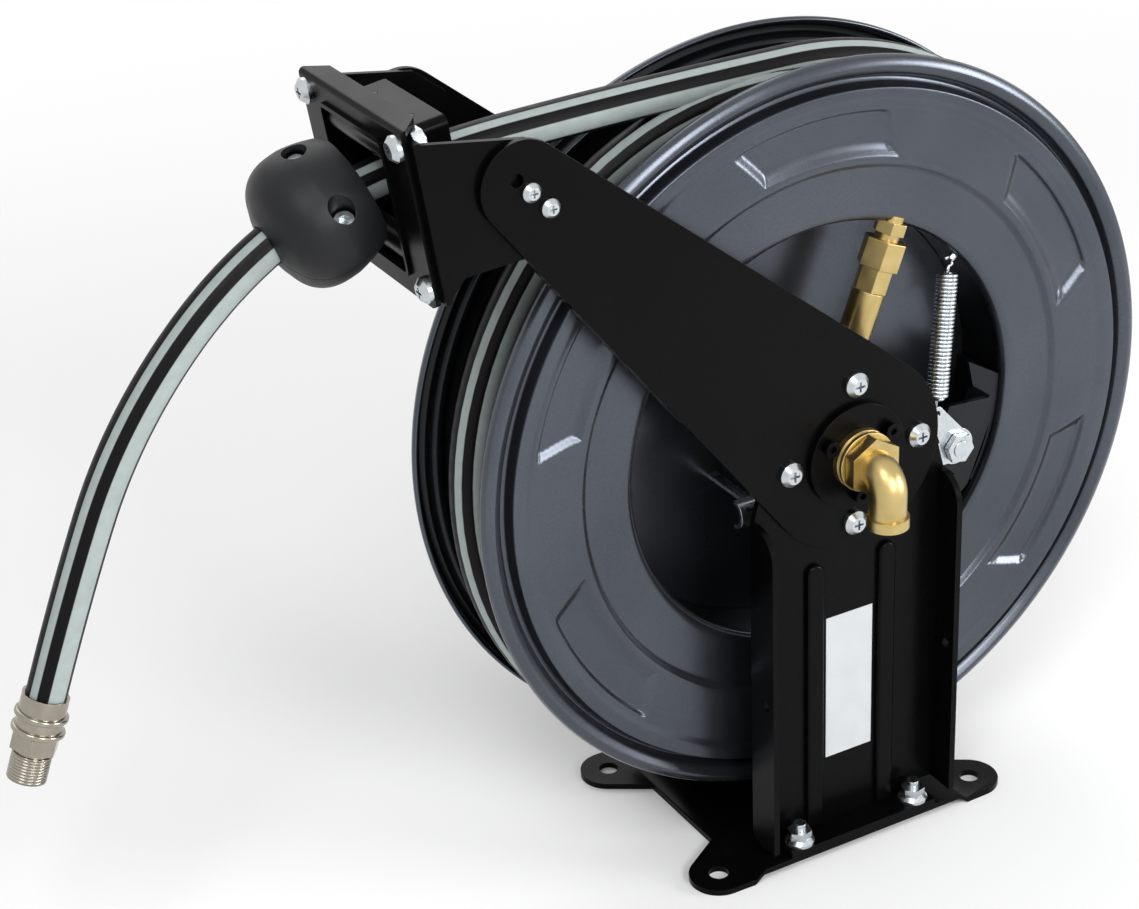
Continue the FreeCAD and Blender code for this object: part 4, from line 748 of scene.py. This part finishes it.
# ---------------------------------------------------------------- hose
@dataclass
class Hose:
    """The hose: the turns on the drum and the free length over the top, through the guide and down."""

    axis_z: float
    diameter: float = 0.017
    core_r: float = 0.1035
    pitch: tuple[float, float] = (0.0172, 0.019)  # from layer to layer, and side by side
    layers: int = 4
    lift: float = 0.0003  # from the barrel to the first layer
    last_r: float = 0.1484  # of the standing turn where the free length leaves it
    spline_share: float = 0.9914  # a spline of order three runs inside its control polygon by this share
    start_deg: float = 68.3
    span_points: int = 24
    sides: int = 24
    declared: tuple[float, float] = (6.52, 1.48)  # wound and free length
    # across and up, from the drum over the top, through the guide and down to the ferrule
    leader: tuple[tuple[float, float], ...] = (
        (0.0200, 0.3503), (-0.0610, 0.3506), (-0.1508, 0.2658), (-0.1532, 0.1398), (-0.0645, 0.0475),
        (0.0654, 0.0453), (0.1600, 0.1370), (0.1620, 0.2704), (0.0682, 0.3679), (-0.0700, 0.3686),
        (-0.1930, 0.3645), (-0.2580, 0.3385), (-0.3120, 0.2820), (-0.3440, 0.2130), (-0.3637, 0.1617))
    carried: tuple[str, ...] = ("stop_ball_upper", "stop_ball_lower", "stop_ball_bolts", "hose_ferrule",
                                "hose_end_nipple")

    def winding_route(self) -> np.ndarray:
        """Control points of the wound hose, layer by layer, with an eased move from each turn to the next.

        Returns:
            Points of shape (n, 3), in metres.
        """
        first = self.core_r + self.lift + self.diameter / 2
        layer = first + self.pitch[0] * np.arange(self.layers)
        column = self.pitch[1]
        # travelled angle in degrees, radius and side position; each pair of rows is a turn held still
        keys = np.array([(0, layer[0], -column), (300, layer[0], -column),
                         (360, layer[0], 0), (660, layer[0], 0),
                         (720, layer[0], column), (1020, layer[0], column),
                         (1080, layer[1], column), (1380, layer[1], column),
                         (1440, layer[1], 0), (1740, layer[1], 0),
                         (1800, layer[1], -column), (2110, layer[1], -column),
                         (2180, layer[2], -column), (2490, layer[2], -column),
                         (2580, layer[3], 0), (2830, layer[3], 0),
                         (2894, self.last_r, 0)])
        travel = np.linspace(0, keys[-1, 0], int(keys[-1, 0] / 360 * self.span_points) + 1)
        index = np.clip(np.searchsorted(keys[:, 0], travel, side="right") - 1, 0, len(keys) - 2)
        share = (travel - keys[index, 0]) / (keys[index + 1, 0] - keys[index, 0])
        ease = smooth_step(share)
        radius = keys[index, 1] + (keys[index + 1, 1] - keys[index, 1]) * ease
        side = keys[index, 2] + (keys[index + 1, 2] - keys[index, 2]) * ease
        radius = radius / self.spline_share
        angle = np.radians(self.start_deg + travel)
        return np.stack([radius * np.cos(angle), side, self.axis_z + radius * np.sin(angle)], axis=1)

    def dress(self, name: str, path: np.ndarray, node: str, body: Body) -> bpy.types.Object:
        """Carry the hose's section along a line and put it in the CAD tube's place.

        Args:
            name: Piece name.
            path: Its centreline.
            node: Solid that it stands for.
            body: Body that it rides on.

        Returns:
            The hose piece.
        """
        points = tube_points(path, self.diameter / 2, self.sides)
        piece = grid_mesh(name, points, (False, True), cap=True, uv_size=(line_length(path), 1.0))
        piece.data.materials.append(FINISHES["hose_rubber"].material())
        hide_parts(node)
        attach(piece, body.value)
        LOG.info("hose %s: %.3f m", name, line_length(path))
        return piece

    def build(self) -> None:
        """Build the wound turns and the free length."""
        winding = spline_line("wound_route", self.winding_route(), 4)
        wound = self.dress("wound_hose", winding, "hose_winding", Body.DRUM)
        route = np.array([(x, 0.0, z) for x, z in self.leader])
        free = spline_line("free_route", route, 24)
        loose = self.dress("free_hose", free, "hose_leader", Body.FRAME)


# ---------------------------------------------------------------- pawl spring
@dataclass
class TensionSpring:
    """Close-wound tension spring of the pawl, with a hook at each end."""

    low: Point = (0.0530, -0.0425, 0.2036)
    high: Point = (0.0700, -0.0270, 0.2690)
    coil_r: float = 0.0043
    wire_r: float = 0.0009
    turns: int = 33
    points_per_turn: int = 26
    rise_turns: float = 0.7  # turns over which the coil widens from its hook
    hook_points: int = 14
    wire_sides: int = 8
    ends: tuple[float, float] = (0.0061, 0.0050)  # from each end's eye to where the coil starts
    hook_r: float = 0.0021
    follow: tuple[float, float] = (0.3, 1.1)  # where the pawl's pull starts and is full, from the upper eye

    def centre_line(self) -> np.ndarray:
        """Line of the wire: half a hook, a helix, half a hook.

        A point of the helix is the run's point plus coil radius times (side cos a plus across sin a).

        Returns:
            Points of shape (n, 3).
        """
        low, high = np.array(self.low), np.array(self.high)
        run = high - low
        length = float(np.linalg.norm(run))
        run /= length
        side = np.cross(run, (0.0, 1.0, 0.0))
        side /= np.linalg.norm(side)
        across = np.cross(run, side)
        share = np.linspace(0, 1, self.turns * self.points_per_turn)
        rise = smooth_step(np.minimum(share, 1 - share) * self.turns / self.rise_turns)
        along = self.ends[0] + share * (length - sum(self.ends))
        angle = 2 * math.pi * self.turns * share
        coil = low + run * along[:, None] + self.coil_r * rise[:, None] * (
            side * np.cos(angle)[:, None] + across * np.sin(angle)[:, None])
        bend = np.linspace(-0.9 * math.pi, 0.5 * math.pi, self.hook_points)[:, None]
        lower = low + self.hook_r * (side * np.cos(bend) + run * np.sin(bend))
        upper = high - self.hook_r * (side * np.cos(bend) + run * np.sin(bend))
        return np.concatenate([lower, coil, upper[::-1]])

    def wire(self, path: np.ndarray) -> np.ndarray:
        """Ring of points round each path point, square to it.

        Args:
            path: The wire's line.

        Returns:
            Points of shape (n, wire_sides, 3).
        """
        ahead = np.gradient(path, axis=0)
        ahead /= np.linalg.norm(ahead, axis=1, keepdims=True)
        # where the wire runs along the coil's own axis, Y takes that axis's place
        first = np.cross(ahead, np.array(self.high) - np.array(self.low) + 1e-5)
        small = np.linalg.norm(first, axis=1) < 2e-3
        first[small] = np.cross(ahead[small], (0.0, 1.0, 0.0))
        first /= np.linalg.norm(first, axis=1, keepdims=True)
        second = np.cross(ahead, first)
        turn = np.linspace(0, 2 * math.pi, self.wire_sides, endpoint=False)[None, :, None]
        ring = first[:, None] * np.cos(turn) + second[:, None] * np.sin(turn)
        return path[:, None] + self.wire_r * ring

    def build(self) -> bpy.types.Object:
        """Make the wire and bake its place into the mesh.

        Returns:
            The spring.
        """
        piece = grid_mesh("pawl_tension_spring", self.wire(self.centre_line()), (False, True), cap=True)
        piece.data.materials.append(FINISHES["zinc"].material())
        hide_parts("pawl_spring")
        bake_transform(piece)
        LOG.info("spring: %d faces", len(piece.data.polygons))
        return piece


# ---------------------------------------------------------------- studio
@dataclass(frozen=True)
class Lamp:
    """One soft square lamp: where it hangs, its edge in metres and its watts."""

    name: str
    place: Point
    size: float
    power: float


@dataclass
class Studio:
    """Pale floor, even soft light with four lamps, and the camera."""

    azimuth_deg: float = -28.18
    elevation_deg: float = 27.20
    roll_deg: float = -2.74
    lens_mm: float = 80.14
    sensor_mm: float = 36.0
    eye: Point = (-0.5803, -0.8710, 0.7205)
    aim: Point = (-0.05, 0.0, 0.2)
    soft_light: float = 0.55
    floor_half: float = 6.0
    floor_fade: tuple[float, float] = (0.45, 1.4)  # from the origin; plain white beyond
    lamps: tuple[Lamp, ...] = (Lamp("key", (-1.1, -1.3, 2.1), 0.9, 20.0),
                               Lamp("front", (0.07, -1.70, 0.95), 0.6, 15.0),
                               Lamp("side", (1.46, -1.14, 0.53), 0.6, 18.0),
                               Lamp("back", (0.3, 1.8, 1.8), 1.4, 12.0))

    def camera(self) -> None:
        """Place the camera by its azimuth, elevation and roll."""
        az, el, roll = (math.radians(v) for v in (self.azimuth_deg, self.elevation_deg, self.roll_deg))
        back = Vector((math.sin(az) * math.cos(el), -math.cos(az) * math.cos(el), math.sin(el)))
        right = Vector((math.cos(az), math.sin(az), 0.0))
        up = back.cross(right)
        right_rolled = right * math.cos(roll) + up * math.sin(roll)
        up_rolled = up * math.cos(roll) - right * math.sin(roll)
        data = bpy.data.cameras.new("camera")
        data.lens = self.lens_mm
        data.sensor_width = self.sensor_mm
        data.sensor_fit = "HORIZONTAL"
        data.clip_start = 0.01
        camera = bpy.data.objects.new("camera", data)
        turn = Matrix((right_rolled, up_rolled, back)).transposed()
        camera.matrix_world = Matrix.Translation(self.eye) @ turn.to_4x4()
        bpy.context.scene.collection.objects.link(camera)
        bpy.context.scene.camera = camera

    def seen(self, tree: Tree) -> Socket:
        """Value that is one for rays of the eye, of a reflection and of glass, and zero for soft light.

        Args:
            tree: Node tree to add to.

        Returns:
            The value's socket.
        """
        path = add_node(tree, "ShaderNodeLightPath")
        two = add_node(tree, "ShaderNodeMath", {0: path.outputs["Is Camera Ray"],
                                                1: path.outputs["Is Transmission Ray"]}, operation="MAXIMUM")
        all_three = add_node(tree, "ShaderNodeMath", {0: two.outputs[0], 1: path.outputs["Is Glossy Ray"]},
                             operation="MAXIMUM")
        return all_three.outputs[0]

    def floor(self) -> None:
        """Lay a wide pale floor that turns to plain white away from the reel, and keeps its shadow."""
        u = np.linspace(-self.floor_half, self.floor_half, 9)
        x, y = np.meshgrid(u, u, indexing="ij")
        floor = grid_mesh("studio_floor", np.stack([x, y, 0 * x], axis=2), (False, False))
        made = bpy.data.materials.new("pale_floor")
        made.use_nodes = True
        tree = made.node_tree
        tree.nodes.clear()
        paint = add_node(tree, "ShaderNodeBsdfDiffuse", {"Color": linear("#f7f7f7")})
        place = add_node(tree, "ShaderNodeTexCoord").outputs["Object"]
        away = add_node(tree, "ShaderNodeVectorMath", {0: place}, operation="LENGTH")
        start, end = self.floor_fade
        far = add_node(tree, "ShaderNodeMapRange", {"Value": away.outputs["Value"], "From Min": start,
                                                    "From Max": end}, interpolation_type="SMOOTHSTEP")
        white = add_node(tree, "ShaderNodeEmission", {"Color": linear("#ffffff"), "Strength": 1.0})
        share = add_node(tree, "ShaderNodeMath", {0: far.outputs[0], 1: self.seen(tree)},
                         operation="MULTIPLY")
        both = add_node(tree, "ShaderNodeMixShader", {0: share.outputs[0], 1: paint.outputs[0],
                                                      2: white.outputs[0]})
        add_node(tree, "ShaderNodeOutputMaterial", {"Surface": both.outputs[0]})
        floor.data.materials.append(made)

    def world(self) -> None:
        """White surroundings for the eye, softer light for the object."""
        world = bpy.data.worlds.new("studio_world")
        bpy.context.scene.world = world
        world.use_nodes = True
        tree = world.node_tree
        tree.nodes.clear()
        light = add_node(tree, "ShaderNodeBackground", {"Color": linear("#ffffff"),
                                                       "Strength": self.soft_light})
        white = add_node(tree, "ShaderNodeBackground", {"Color": linear("#ffffff"), "Strength": 1.0})
        mix = add_node(tree, "ShaderNodeMixShader", {0: self.seen(tree), 1: light.outputs[0],
                                                     2: white.outputs[0]})
        add_node(tree, "ShaderNodeOutputWorld", {"Surface": mix.outputs[0]})

    def hang(self, lamp: Lamp) -> None:
        """Hang one lamp and turn it to the middle of the reel.

        Args:
            lamp: What to hang.
        """
        data = bpy.data.lights.new(lamp.name, "AREA")
        data.size = lamp.size
        data.energy = lamp.power
        hung = bpy.data.objects.new(lamp.name, data)
        hung.location = lamp.place
        hung.rotation_euler = (Vector(lamp.place) - Vector(self.aim)).to_track_quat("Z", "Y").to_euler()
        bpy.context.scene.collection.objects.link(hung)

    def build(self) -> None:
        """Set up the whole studio."""
        self.floor()
        self.world()
        self.camera()
        for lamp in self.lamps:
            self.hang(lamp)
        bpy.context.scene.view_settings.view_transform = "Standard"


def main() -> None:
    """Build the reel's looks in order and report each piece."""
    logging.basicConfig(level=logging.INFO, format="%(name)s %(message)s")
    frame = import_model()
    low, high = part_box("front_disc")
    axis_z = (low[2] + high[2]) / 2
    SolidWork(frame).dress()
    for side in Side:
        SideDisc(side, f"{side.name.lower()}_disc", axis_z).build()
    Hose(axis_z).build()
    TensionSpring().build()
    Studio().build()


if __name__ == "__main__":
    main()
